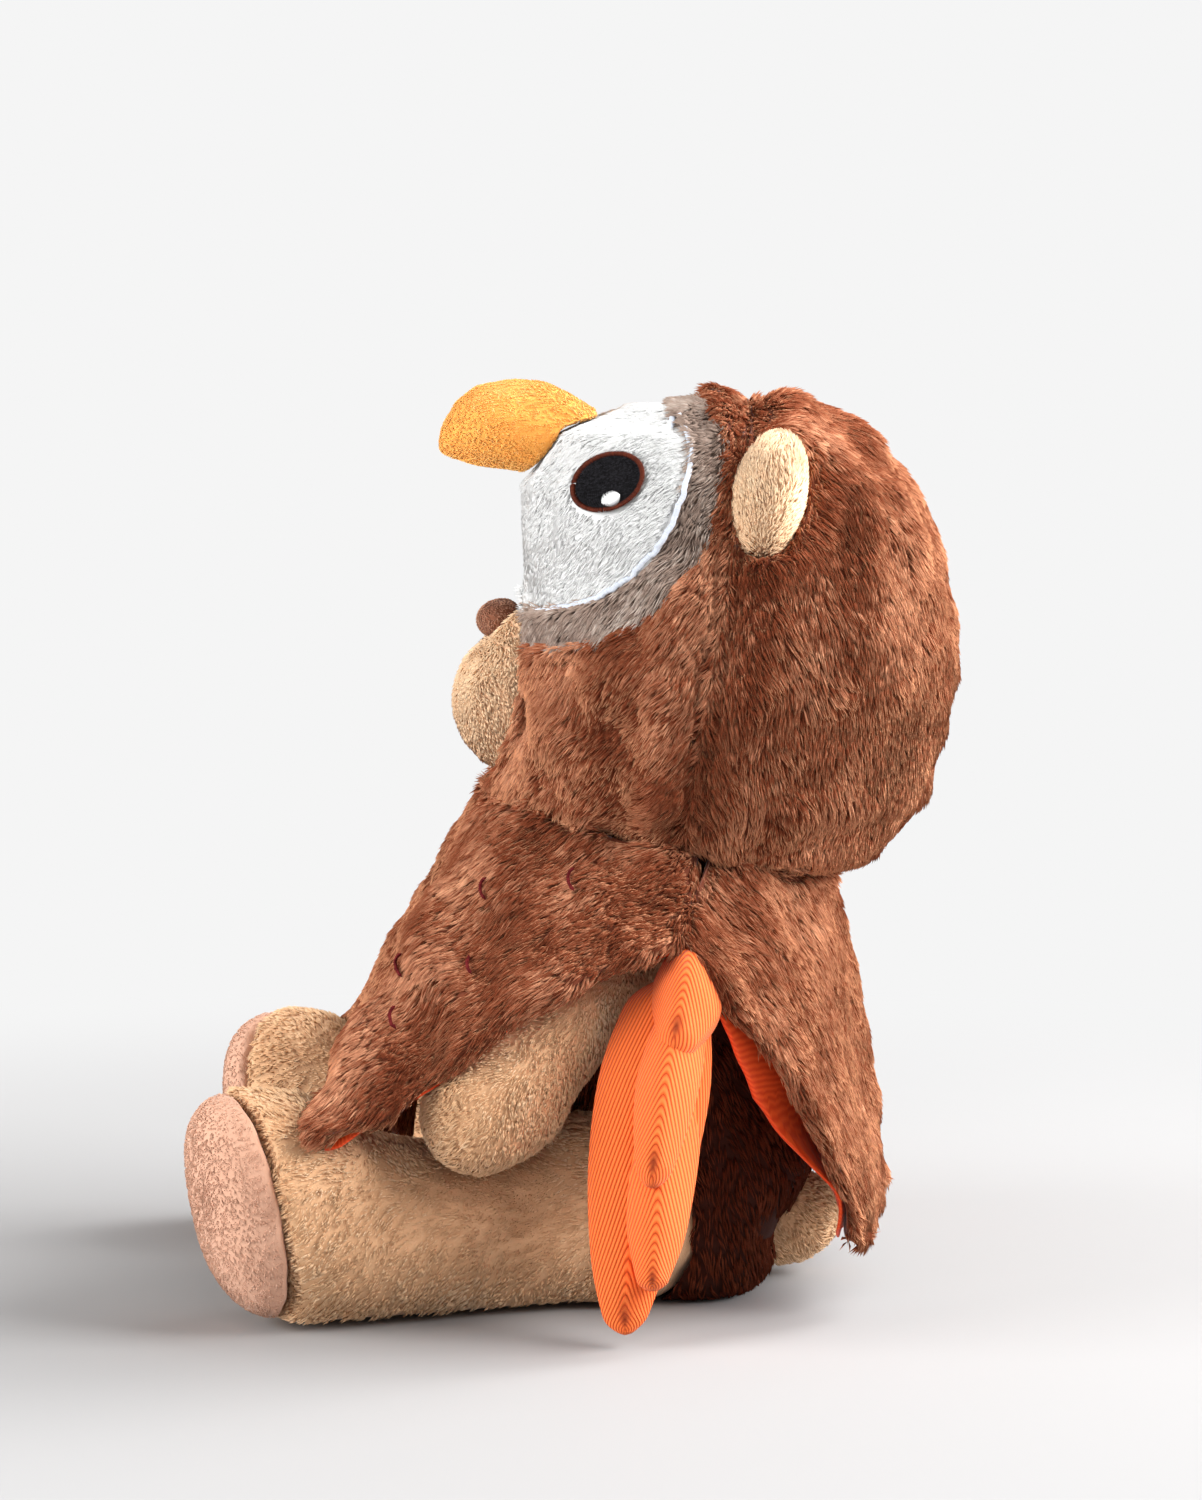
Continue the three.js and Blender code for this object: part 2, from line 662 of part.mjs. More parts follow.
// The eagle's eyes are thick stitching that follows the patch
const maskEyeOutline = new THREE.Shape();
maskEyeOutline.absellipse(
  NECK_Y - MASK_EYE_FORWARD,
  crown - MASK_EYE_DROP,
  MASK_EYE_LENGTH / 2,
  MASK_EYE_HEIGHT / 2,
  0,
  2 * Math.PI,
  false,
  degrees(MASK_EYE_TILT),
);
const stitching = hoodLayer(-GAP - STITCH).subtract(hoodLayer(-GAP));
const maskEye = stitching.intersect(sidePrism(maskEyeOutline, 8, 0, HOOD_WIDTH));
addPair('mask_eye', toGeometry(maskEye), EYE_BLACK, 0.8);

// Poncho: two lined panels sewn along the shoulders, open down the sides
class Panel {
  constructor(neckAngles, hemPoints, bulge, waves, pleat) {
    Object.assign(this, { neckAngles, bulge, waves, pleat });
    this.hem = new THREE.CatmullRomCurve3(hemPoints);
  }

  point(u, v) {
    const angle = mix(this.neckAngles[0], this.neckAngles[1], u);
    const top = hood.crossing(angle, PLUSH / 2, neckLevel).addScaledVector(neckNormal, -GAP);
    const out = V(top.x, top.y - NECK_Y, 0).normalize();
    const fold = PONCHO_FOLD * v * v * Math.sin(Math.PI * u) ** 2 * Math.cos(this.waves * Math.PI * u);
    const crest = (1 + Math.cos(FRONT_PLEATS * 2 * Math.PI * u)) / 2;
    const pleat = this.pleat * v * Math.sin(Math.PI * u) ** 2 * crest;
    const swell = this.bulge * 4 * v * (1 - v) * Math.sin(Math.PI * u) + fold + pleat;
    return top.lerp(this.hem.getPoint(u), v).addScaledVector(out, swell);
  }

  // Outward normal, kept square to the sewn edges so that the two panels meet there
  normal(u, v) {
    const step = 1e-3;
    const [u0, u1] = [Math.max(u - step, 0), Math.min(u + step, 1)];
    const [v0, v1] = [Math.max(v - step, 0), Math.min(v + step, 1)];
    const across = this.point(u1, v).sub(this.point(u0, v));
    const down = this.point(u, v1).sub(this.point(u, v0));
    const normal = across.cross(down);
    if (u === 0 || u === 1) normal.setY(0);
    const here = this.point(u, v);
    const outward = V(here.x, here.y - NECK_Y, 0);
    return normal.multiplyScalar(Math.sign(normal.dot(outward))).normalize();
  }

  // Closed layer of cloth between two depths under the outer face, with its hem drawn back
  layer(outer, inner, hemBack) {
    const [columns, rows] = [PANEL_COLUMNS, PANEL_ROWS];
    const points = [];
    for (const depth of [outer, inner]) {
      for (let i = 0; i <= columns; i++) {
        for (let j = 0; j <= rows; j++) {
          const u = i / columns;
          const v = j < rows ? j / rows : 1 - hemBack;
          points.push(this.point(u, v).addScaledVector(this.normal(u, v), -depth));
        }
      }
    }
    const sheet = (columns + 1) * (rows + 1);
    const at = (i, j) => i * (rows + 1) + j;
    const triangles = [];
    const quad = (a, b, c, d) => triangles.push(a, b, c, a, c, d);
    for (let i = 0; i < columns; i++) {
      for (let j = 0; j < rows; j++) {
        const corners = [at(i, j), at(i + 1, j), at(i + 1, j + 1), at(i, j + 1)];
        if (i >= columns / 2) corners.push(corners.shift());
        quad(...corners);
        const [a, b, c, d] = corners.map((corner) => corner + sheet);
        quad(a, d, c, b);
      }
    }
    const wall = (a, b) => quad(a, a + sheet, b + sheet, b);
    for (let i = 0; i < columns; i++) {
      wall(at(i, 0), at(i + 1, 0));
      wall(at(i + 1, rows), at(i, rows));
    }
    for (let j = 0; j < rows; j++) {
      wall(at(0, j + 1), at(0, j));
      wall(at(columns, j), at(columns, j + 1));
    }
    return closedMesh(points, triangles);
  }
}

const flip = (point) => V(-point.x, point.y, point.z);
const bothSides = (points) => [...points, ...points.slice(0, -1).reverse().map(flip)];
const apex = shoulder.clone().add(V(APEX_OUT, APEX_BACK, APEX_RISE));
const legShoulder = legHeight(CORNER_ALONG / LEG_LENGTH);
const seamHalf = V(0, GAP / 2, 0);
const frontHem = bothSides([
  apex.clone().sub(seamHalf),
  armMiddle.clone().add(V(1, ARM_COVER_BACK, ARM_COVER_UP).multiplyScalar(ARM_COVER)),
  paw.clone().add(V(PAW_COVER, PAW_COVER_BACK, PAW_WIDTH * HEM_PAW_TOP)),
  paw.clone().add(V(PAW_COVER, -PAW_WIDTH * HEM_PAW_FRONT, PAW_WIDTH * HEM_PAW_LOW)),
  legPoint(CORNER_ALONG, FOOT_WIDTH / 2 - CORNER_IN, legShoulder - CORNER_DROP),
  legPoint(HEM_LEG_SHARE * LEG_LENGTH, 0, legHeight(HEM_LEG_SHARE) + HEM_OVER_LEG),
  V(0, BODY_Y - BODY_DEPTH / 2 - HEM_FRONT_FORWARD, HEM_FRONT_HEIGHT),
]);

// Side edge of the back panel, from the shoulder point to its corner and in to the middle of the back.
// Each row gives the shares of the way out, back and down
const BACK_EDGE = [
  [-0.2, 0.36, 0.3],
  [0.2, 0.6, 0.56],
  [1, 0.84, 1],
];
const backMiddle = V(0, BODY_Y + BODY_DEPTH / 2 + HEM_BACK_REACH, HEM_BACK_HEIGHT);
const backCorner = V(HEM_BACK_WIDTH / 2, backMiddle.y, HEM_BACK_CORNER_HEIGHT);
const backEdge = BACK_EDGE.map(([out, back, down]) => V(
  mix(apex.x, backCorner.x, out),
  mix(apex.y, backCorner.y, back),
  mix(apex.z, backCorner.z, down),
));
const backHem = bothSides([
  apex.clone().add(seamHalf),
  ...backEdge,
  backEdge.at(-1).clone().lerp(backMiddle, 0.5),
  backMiddle,
]);
const seamTurn = (2 * GAP) / HOOD_WIDTH;
const frontPanel = new Panel([-seamTurn, seamTurn - Math.PI], frontHem, PONCHO_BULGE, 6, FRONT_PLEAT);
const backPanel = new Panel([seamTurn, Math.PI - seamTurn], backHem, 0, 8, 0);
const lined = PLUSH + GAP;
const clothDepth = lined + LINING;
for (const [name, panel] of [['cape_front', frontPanel], ['cape_back', backPanel]]) {
  add(name, panel.layer(0, PLUSH, 0), BROWN);
  add(`${name}_lining`, panel.layer(lined, clothDepth, LINING_HEM), LINING_ORANGE);
}

// Wing: four stuffed feathers fanned from a root sewn under the shoulder point of the poncho
const FEATHER_PROFILE = [
  [0, 0.42],
  [0.12, 0.68],
  [0.3, 0.92],
  [0.5, 1],
  [0.7, 0.93],
  [0.84, 0.74],
  [0.94, 0.46],
];
const wingRoot = apex.clone().addScaledVector(frontPanel.normal(0, 1), -(clothDepth + GAP + WING_ROOT));
wingRoot.y -= WING_FORWARD;

function feather({ out, forward, height, thick }, order) {
  const tip = V(wingRoot.x + out, wingRoot.y - forward, height);
  const start = wingRoot.clone();
  start.z = mix(wingRoot.z, height, FEATHER_START + FEATHER_STEP * order);
  const along = tip.clone().sub(start).normalize();
  const rings = FEATHER_PROFILE.map(([t, share]) => {
    const centre = start.clone().lerp(tip, t);
    return roundRing(centre, along, (thick / 2) * share, FEATHER_SEGMENTS, FEATHER_FLAT);
  });
  return toSolid(loft(rings, undefined, tip));
}

const rootBall = ball(wingRoot, WING_ROOT, V(0, 1, 0), FEATHER_SEGMENTS, 6);
const feathers = WING_TIPS.map(feather);
const wing = feathers.reduce((whole, one) => whole.add(one), rootBall);
const underPoncho = toSolid(backPanel.layer(-WING_ROOT, clothDepth + GAP, 0));
addPair('wing', toGeometry(wing.subtract(underPoncho)), ORANGE);

export default bear;
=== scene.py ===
# %% [markdown]
# # A teddy bear dressed as an eagle
# The bear sits on the floor in a hood with a padded beak, a lined poncho and two corduroy wings. Almost all
# of it is pile fabric, so the lesson has three parts: soft forms, pile that is combed over them, and the
# small sewn details. The measured solids come first, because every form takes its place from them.

# %% Load the measured solids
import math
from collections import namedtuple
from contextlib import contextmanager

import bpy
import numpy as np
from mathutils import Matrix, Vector
from mathutils.bvhtree import BVHTree
from mathutils.kdtree import KDTree


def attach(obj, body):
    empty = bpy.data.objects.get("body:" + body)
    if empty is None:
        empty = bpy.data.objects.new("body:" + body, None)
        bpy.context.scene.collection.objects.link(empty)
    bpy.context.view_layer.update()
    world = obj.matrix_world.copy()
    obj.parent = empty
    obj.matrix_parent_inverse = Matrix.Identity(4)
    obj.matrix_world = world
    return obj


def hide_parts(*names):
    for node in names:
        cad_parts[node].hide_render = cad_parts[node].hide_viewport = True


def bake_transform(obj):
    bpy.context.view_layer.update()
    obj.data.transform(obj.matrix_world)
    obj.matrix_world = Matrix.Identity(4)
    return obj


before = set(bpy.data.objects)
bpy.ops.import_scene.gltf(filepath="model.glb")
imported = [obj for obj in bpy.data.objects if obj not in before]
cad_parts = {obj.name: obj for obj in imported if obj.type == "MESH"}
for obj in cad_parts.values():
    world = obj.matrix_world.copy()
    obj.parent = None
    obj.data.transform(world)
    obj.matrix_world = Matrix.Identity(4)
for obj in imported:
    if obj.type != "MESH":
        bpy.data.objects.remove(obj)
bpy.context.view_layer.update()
MM = 0.001
SIDES = {"left": 1, "right": -1}
bpy.ops.object.select_all(action="DESELECT")

# %% [markdown]
# The camera looks at the bear's left side from a little above, as a photographer with a long lens would.
# The view is set by the height that the frame covers at the bear's middle plane, so no guess at a lens is
# needed.

# %% Camera
LOOK_AT = Vector((0, 7.05, 153)) * MM
CAMERA_DISTANCE = 1400 * MM
CAMERA_RISE = math.radians(5)
VIEW_HEIGHT = 435 * MM

towards_camera = Vector((math.cos(CAMERA_RISE), 0, math.sin(CAMERA_RISE)))
bpy.ops.object.camera_add(location=LOOK_AT + towards_camera * CAMERA_DISTANCE)
camera = bpy.context.object
camera.rotation_euler = (-towards_camera).to_track_quat("-Z", "Y").to_euler()
camera.data.sensor_fit = "VERTICAL"
camera.data.lens = camera.data.sensor_height * CAMERA_DISTANCE / VIEW_HEIGHT
camera.data.clip_start = 50 * MM
bpy.context.scene.camera = camera
print("lens:", round(camera.data.lens, 1), "mm")

# %% [markdown]
# Some small tools are used all through. One copies a solid as a sewing pattern, and another turns such a
# copy into a stuffed form: a voxel remesh gives even faces and rounded edges, and a Smooth modifier then
# takes away the facets, as stuffing would. The rest select, edit or subdivide a piece, or read and move its
# points.

# %% Soft forms from solids
WELD = 0.002 * MM
SMOOTHING = 0.5


def only(piece):
    bpy.ops.object.select_all(action="DESELECT")
    piece.select_set(True)
    bpy.context.view_layer.objects.active = piece


@contextmanager
def edit_mode(piece):
    only(piece)
    bpy.ops.object.mode_set(mode="EDIT")
    bpy.ops.mesh.select_all(action="SELECT")
    yield
    bpy.ops.object.mode_set(mode="OBJECT")


def new_piece(name, mesh):
    piece = bpy.data.objects.new(name, mesh)
    bpy.context.scene.collection.objects.link(piece)
    only(piece)
    return piece


def apply_modifier(piece, kind, **settings):
    only(piece)
    modifier = piece.modifiers.new(kind.title(), kind)
    for key, value in settings.items():
        setattr(modifier, key, value)
    bpy.ops.object.modifier_apply(modifier=modifier.name)


def pattern_of(node, name):
    piece = new_piece(name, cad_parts[node].data.copy())
    piece.data.materials.clear()
    bpy.ops.mesh.customdata_custom_splitnormals_clear()
    with edit_mode(piece):
        bpy.ops.mesh.remove_doubles(threshold=WELD)
    return piece


def stuffed(node, name, voxel, rounds):
    piece = pattern_of(node, name)
    piece.data.remesh_voxel_size = voxel * MM
    bpy.ops.object.voxel_remesh()
    apply_modifier(piece, "SMOOTH", factor=SMOOTHING, iterations=rounds)
    bpy.ops.object.shade_smooth()
    return piece


def subdivided(piece, levels):
    apply_modifier(piece, "SUBSURF", levels=levels, render_levels=levels)
    bpy.ops.object.shade_smooth()
    return piece


def smooth_shell(piece):
    with edit_mode(piece):
        bpy.ops.mesh.normals_make_consistent(inside=False)
    bpy.ops.object.shade_smooth()
    return piece


def triples(source, label):
    values = np.empty(len(source) * 3, np.float32)
    source.foreach_get(label, values)
    return values.reshape(-1, 3).astype(float)


def points_of(piece):
    return triples(piece.data.vertices, "co")


def normals_of(piece):
    return triples(piece.data.vertex_normals, "vector")


def set_points(piece, points):
    piece.data.vertices.foreach_set("co", points.astype(np.float32).ravel())
    piece.data.update()


@contextmanager
def moving(piece):
    points = points_of(piece)
    yield points
    set_points(piece, points)


# %% [markdown]
# Cloth over stuffing is never even. A smooth random field made of a few crossing waves gives lumps that
# repeat exactly on every run. Its size along each axis can differ, so that folds can be long and narrow.
# Points move along their normals, as with a sculpting brush. A rise or a hump, both in millimetres, limits
# a change to one place.

# %% Lumps and folds
WAVES = 7
TINY = 1e-12


def unit(vectors):
    return vectors / (np.linalg.norm(vectors, axis=1)[:, None] + TINY)


def waves(points, size, seed):
    draw = np.random.default_rng(seed)
    directions = unit(draw.normal(size=(WAVES, 3)))
    phases = draw.uniform(0, 2 * math.pi, WAVES)
    stretch = np.broadcast_to(np.asarray(size, float) * MM, (3,))
    turns = (points / stretch) @ directions.T * 2 * math.pi + phases
    return np.sin(turns).sum(axis=1) / math.sqrt(WAVES / 2)


def sculpt(piece, depth):
    points = points_of(piece)
    set_points(piece, points + normals_of(piece) * (depth(points) * MM)[:, None])


def ramp(value, low, high):
    share = np.clip((value - low) / (high - low), 0, 1)
    return share * share * (3 - 2 * share)


def rise(length, low, high):
    return ramp(length / MM, low, high)


def hump(length, middle, width):
    return np.exp(-(((length / MM - middle) / width) ** 2))


def hollows(points, centre, radius):
    across, back, up = centre
    places = [np.array((side * across, back, up)) * MM for side in SIDES.values()]
    return sum(hump(np.linalg.norm(points - place, axis=1), 0, radius) for place in places)


def lumpy(depth, size, seed, room=0.6, clear=None):
    def lumps(points):
        above_floor = rise(points[:, 2], *clear) if clear else 1
        return (depth * waves(points, size, seed) - room) * above_floor

    return lambda piece: sculpt(piece, lumps)


# %% [markdown]
# Pile fabric is made of fibres, and the outline shows them, so each tuft is real geometry: a slim closed
# blade with a root, two corners at its bend and a tip. Particle hair would be quicker to make, but it is
# lost when the model leaves Blender. The tufts of a piece are one mesh. Their map holds each tuft's shade
# across and its height from root to tip upwards, so one material can colour all of them.

# %% Blades
BLADE_FACES = np.array([(0, 2, 1), (3, 1, 2), (0, 1, 3), (0, 3, 2)])
BLADE_SHADES = (0, -0.008, 0.008, 0)
BLADE_HEIGHTS = (0.02, 0.5, 0.5, 0.98)


def blades(name, root, bend, tip, width, side, shade):
    count = len(root)
    half = side * (width / 2)[:, None]
    points = np.stack([root, bend - half, bend + half, tip], axis=1)
    corners = (np.arange(count)[:, None, None] * 4 + BLADE_FACES).ravel()
    mesh = bpy.data.meshes.new(name)
    mesh.vertices.add(count * 4)
    mesh.vertices.foreach_set("co", points.astype(np.float32).ravel())
    mesh.loops.add(len(corners))
    mesh.loops.foreach_set("vertex_index", corners.astype(np.int32))
    mesh.polygons.add(len(corners) // 3)
    mesh.polygons.foreach_set("loop_start", np.arange(0, len(corners), 3, dtype=np.int32))
    mesh.polygons.foreach_set("use_smooth", np.ones(len(corners) // 3, bool))
    across = np.clip(shade[:, None] + BLADE_SHADES, 0.01, 0.99)
    chart = np.stack([across, np.broadcast_to(BLADE_HEIGHTS, (count, 4))], axis=-1).reshape(-1, 2)[corners]
    mesh.uv_layers.new(name="OFBake").data.foreach_set("uv", chart.astype(np.float32).ravel())
    mesh.update(calc_edges=True)
    return new_piece(name, mesh)


# %% [markdown]
# Combing: roots are scattered evenly over the outside of a skin, and each tuft follows the nap, a direction
# given for each piece. The nap wanders, neighbouring tufts lean together into locks, and a lock shares its
# shade. These three together give the crushed, glossy look of long pile. Short pile stands up more and
# locks less. Lengths and widths are in millimetres, and the lift is in degrees.

# %% Combing
FLOOR_CLEAR = 0.3 * MM
ROOT_DEPTH = 0.2 * MM
Pile = namedtuple("Pile", "length width lift tufts pull wander")
LONG_PILE = Pile(5.4, 0.38, 15, 11, 0.34, 0.13)
BAND_PILE = Pile(4.6, 0.36, 18, 9, 0.28, 0.16)
PATCH_PILE = Pile(4.2, 0.32, 11, 8, 0.18, 0.12)
WOOL_PILE = Pile(2.8, 0.33, 26, 6, 0.14, 0.2)
VELOUR_PILE = Pile(1.2, 0.28, 22, 6, 0.15, 0.25)


def scatter(skin, count, draw, keep):
    mesh = skin.data
    mesh.calc_loop_triangles()
    corners = np.empty(len(mesh.loop_triangles) * 3, np.int32)
    mesh.loop_triangles.foreach_get("vertices", corners)
    corners = corners.reshape(-1, 3)
    points, normals = points_of(skin), normals_of(skin)
    a, b, c = (points[corners[:, k]] for k in range(3))
    area = np.linalg.norm(np.cross(b - a, c - a), axis=1) / 2
    area = np.where(keep((a + b + c) / 3, normals[corners].mean(axis=1)), area, 0)
    steps = np.cumsum(area)
    chosen = np.searchsorted(steps, draw.uniform(0, steps[-1], count))
    share = draw.uniform(size=(count, 2))
    flipped = share.sum(axis=1) > 1
    share[flipped] = 1 - share[flipped]
    share = np.column_stack([1 - share.sum(axis=1), share])
    root = np.einsum("ij,ijk->ik", share, points[corners[chosen]])
    return root, unit(np.einsum("ij,ijk->ik", share, normals[corners[chosen]]))


def everywhere(points, facing):
    return np.ones(len(points), bool)


def comb(name, skin, count, nap, pile, seed, keep):
    draw = np.random.default_rng(seed)
    root, normal = scatter(skin, count, draw, keep)
    lay = nap(root) if callable(nap) else nap
    way = unit(np.broadcast_to(np.asarray(lay, float), root.shape))
    drift = [waves(root, 16, seed + k) + 0.45 * waves(root, 6, seed + 5 + k) for k in range(3)]
    way += pile.wander * np.column_stack(drift) + draw.normal(scale=0.1, size=root.shape)
    way = unit(way - normal * (way * normal).sum(axis=1)[:, None])
    reach = pile.length * MM * draw.uniform(0.75, 1.1, count) * (1 + 0.07 * waves(root, 16, seed + 20))
    angle = np.radians(pile.lift) * draw.uniform(0.75, 1.25, count) * (1 + 0.06 * waves(root, 9, seed + 21))

    def lean(turn):
        return way * np.cos(turn)[:, None] + normal * np.sin(turn)[:, None]

    bend = root + lean(np.clip(angle * 1.8, 0, 1.5)) * (reach * 0.45)[:, None]
    tip = bend + lean(angle * 0.5) * (reach * 0.6)[:, None]
    heads = np.arange(0, count, pile.tufts)
    tree = KDTree(len(heads))
    for place, head in enumerate(heads):
        tree.insert(root[head], place)
    tree.balance()
    near = heads[np.array([tree.find(point)[1] for point in root])]
    tip += (tip[near] - tip) * pile.pull
    bend += (bend[near] - bend) * pile.pull * 0.4
    shade = 0.5 + 0.1 * waves(root, (26, 26, 60), seed + 30) + 0.08 * draw.normal(size=count)
    shade += 0.08 * draw.normal(size=count)[near]
    for points in (bend, tip):
        points[:, 2] = np.maximum(points[:, 2], FLOOR_CLEAR)
    across = unit(np.cross(tip - root, normal))
    thickness = pile.width * MM * draw.uniform(0.75, 1.25, count)
    return blades(name, root - normal * ROOT_DEPTH, bend, tip, thickness, across, np.clip(shade, 0.02, 0.98))


# %% [markdown]
# Colours are written as seen on a screen and turned into the linear values that shaders take. One helper
# adds a node and fills its inputs with values or links. The ground cloth under the pile has one shared
# pattern: fine speckle over slow patches of lighter and darker tone, with a height that a Bump node reads.
# The pile has another, which turns the map of the tufts into colour: shade across, and towards the root a
# painted shade, the darkening deep in the pile where the tufts shade each other.

# %% Colours and patterns
def colour(*screen):
    shares = [value / 255 for value in screen]
    linear = [share / 12.92 if share <= 0.04045 else ((share + 0.055) / 1.055) ** 2.4 for share in shares]
    return (*linear, 1)


def add_node(tree, kind, inputs, **settings):
    made = tree.nodes.new(f"ShaderNode{kind}")
    for key, value in settings.items():
        setattr(made, key, value)
    for socket, value in inputs.items():
        if isinstance(value, bpy.types.NodeSocket):
            tree.links.new(value, made.inputs[socket])
        else:
            made.inputs[socket].default_value = value
    return made.outputs


def mix(tree, factor, first, second, kind="MIX"):
    inputs = {"Factor": factor, "A": first, "B": second}
    return add_node(tree, "Mix", inputs, data_type="RGBA", blend_type=kind)["Result"]


def maths(tree, kind, *values):
    return add_node(tree, "Math", dict(enumerate(values)), operation=kind)[0]


def noise(tree, scale, detail=2):
    place = add_node(tree, "TexCoord", {})["Object"]
    return add_node(tree, "TexNoise", {"Vector": place, "Scale": scale, "Detail": detail})["Fac"]


def remap(tree, value, low, high, least=0, **settings):
    limits = {"Value": value, "From Min": low, "From Max": high, "To Min": least}
    return add_node(tree, "MapRange", limits, **settings)["Result"]


def new_group(name, inputs, outputs):
    group = bpy.data.node_groups.new(name, "ShaderNodeTree")
    for way, sockets in (("INPUT", inputs), ("OUTPUT", outputs)):
        for label, kind in sockets.items():
            group.interface.new_socket(label, in_out=way, socket_type=f"NodeSocket{kind}")
    return group, group.nodes.new("NodeGroupInput").outputs, group.nodes.new("NodeGroupOutput").inputs


def ground_cloth_group():
    needs = {"Dark": "Color", "Light": "Color", "Speckle": "Float", "Patch": "Float"}
    group, given, wanted = new_group("ground_cloth", needs, {"Color": "Color", "Height": "Float"})
    fine, slow = noise(group, given["Speckle"], 3), noise(group, given["Patch"])
    share = remap(group, maths(group, "MULTIPLY_ADD", fine, 0.6, slow), 0.45, 1.15)
    group.links.new(mix(group, share, given["Dark"], given["Light"]), wanted["Color"])
    group.links.new(fine, wanted["Height"])
    return group


def pile_shades_group():
    needs = {"Dark": "Color", "Middle": "Color", "Light": "Color", "Root shade": "Float"}
    group, given, wanted = new_group("pile_shades", needs, {"Color": "Color"})
    chart = add_node(group, "UVMap", {}, uv_map="OFBake")["UV"]
    split = add_node(group, "SeparateXYZ", {"Vector": chart})
    shade = mix(group, remap(group, split["X"], 0, 0.5), given["Dark"], given["Middle"])
    shade = mix(group, remap(group, split["X"], 0.5, 1), shade, given["Light"])
    # painted shade: each tuft is darkened towards its root, where the pile shades itself
    height = remap(group, split["Y"], 0, 0.75, given["Root shade"])
    group.links.new(mix(group, 1, shade, height, "MULTIPLY"), wanted["Color"])
    return group


GROUND_CLOTH = ground_cloth_group()
PILE_SHADES = pile_shades_group()
print("patterns:", GROUND_CLOTH.name, PILE_SHADES.name)

# %% [markdown]
# Each fabric has a ground and a pile. The brown pile runs from a dark chestnut to a light caramel, and that
# spread within a finger's width is what makes it read as plush. The suit is the same cloth, coloured darker.
# A felted ground has finer speckle and more relief. Linings are woven, and embroidery threads are coloured
# like pile.

# %% Fabrics
PRINCIPLED = "Principled BSDF"
PLAIN = (900, 40, 0.3)
FELTED = (1700, 25, 0.5)
Fabric = namedtuple("Fabric", "slot pile ground threads")


def new_material(name, roughness, sheen, gloss=0.2):
    material = bpy.data.materials.new(name)
    material.use_nodes = True
    inputs = material.node_tree.nodes[PRINCIPLED].inputs
    sheens = {"Sheen Weight": sheen, "Sheen Roughness": 0.4}
    for label, value in {"Roughness": roughness, "Specular IOR Level": gloss, **sheens}.items():
        inputs[label].default_value = value
    return material, material.node_tree, inputs


def colour_and_relief(tree, inputs, tone, height, strength, distance):
    relief = {"Strength": strength, "Distance": distance * MM, "Height": height}
    tree.links.new(tone, inputs["Base Color"])
    tree.links.new(add_node(tree, "Bump", relief)["Normal"], inputs["Normal"])


def ground_material(name, dark, light, speckle, patch, bump, sheen):
    material, tree, inputs = new_material(name, 0.95, sheen)
    values = {"Dark": colour(*dark), "Light": colour(*light), "Speckle": speckle, "Patch": patch}
    cloth = add_node(tree, "Group", values, node_tree=GROUND_CLOTH)
    colour_and_relief(tree, inputs, cloth["Color"], cloth["Height"], bump, 0.4)
    return material


def pile_material(name, shades, root, sheen, gloss):
    material, tree, inputs = new_material(name, 0.8, sheen, gloss)
    values = {label: colour(*shade) for label, shade in zip(("Dark", "Middle", "Light"), shades)}
    pile = add_node(tree, "Group", {**values, "Root shade": root}, node_tree=PILE_SHADES)
    tree.links.new(pile["Color"], inputs["Base Color"])
    return material


def fabric(name, slot, pile, ground, shades, root, weave=PLAIN, ground_sheen=0.2, sheen=0.05, gloss=0.2):
    cloth = ground_material(f"{name}_ground", *ground, *weave, ground_sheen)
    return Fabric(slot, pile, cloth, pile_material(f"{name}_pile", shades, root, sheen, gloss))


def weave_material(name, dark, light, threads):
    material, tree, inputs = new_material(name, 0.55, 0.15)
    ribs = {"Vector": add_node(tree, "TexCoord", {})["Object"], "Scale": threads, "Distortion": 0.6}
    rib = add_node(tree, "TexWave", ribs, bands_direction="DIAGONAL")["Fac"]
    colour_and_relief(tree, inputs, mix(tree, rib, colour(*dark), colour(*light)), rib, 0.4, 0.2)
    return material


# The number after the pile shades is the painted root shade, how much of its colour a tuft keeps at its
# root.
brown = fabric("brown", "brown_plush", LONG_PILE, [(96, 46, 29), (130, 68, 44)],
               [(76, 32, 18), (137, 69, 44), (240, 176, 137)], 0.4, sheen=0.85, gloss=0.03)
brown.threads.node_tree.nodes[PRINCIPLED].inputs["Sheen Tint"].default_value = colour(255, 184, 138)
suit = fabric("suit", "suit_plush", LONG_PILE, [(46, 18, 10), (66, 28, 17)],
              [(72, 29, 17), (100, 46, 29), (134, 72, 48)], 0.4, ground_sheen=0, sheen=0, gloss=0.03)
white = fabric("white", "white_plush", PATCH_PILE, [(214, 214, 213), (226, 226, 225)],
               [(218, 218, 217), (229, 229, 228), (238, 238, 237)], 0.9, sheen=0.02)
grey = fabric("grey", "grey_plush", BAND_PILE, [(104, 84, 72), (130, 110, 98)],
              [(120, 98, 86), (166, 144, 130), (220, 205, 193)], 0.5)
beige = fabric("beige", "beige_plush", WOOL_PILE, [(210, 164, 124), (224, 182, 142)],
               [(204, 154, 112), (228, 186, 144), (243, 212, 176)], 0.85, FELTED)
# painted light: a lighter copy of the beige plush, in the same slot, for the muzzle and the ears
pale = fabric("pale", "beige_plush", WOOL_PILE, [(220, 178, 142), (232, 195, 160)],
              [(216, 172, 136), (236, 200, 162), (246, 220, 186)], 0.9, FELTED)
yellow = fabric("beak", "beak_plush", VELOUR_PILE, [(238, 162, 74), (246, 176, 88)],
                [(234, 154, 68), (247, 180, 92), (252, 206, 132)], 0.88, (1900, 30, 0.3))
pink = fabric("sole", "sole_velour", VELOUR_PILE, [(204, 157, 132), (214, 168, 142)],
              [(196, 146, 120), (214, 168, 142), (230, 192, 168)], 0.88, (1900, 40, 0.15))
umber = fabric("nose", "nose_velour", VELOUR_PILE, [(112, 66, 46), (150, 96, 72)],
               [(132, 82, 60), (170, 118, 92), (204, 156, 128)], 0.75)
lining_cloth = weave_material("lining_cloth", (222, 66, 22), (240, 86, 34), 420)
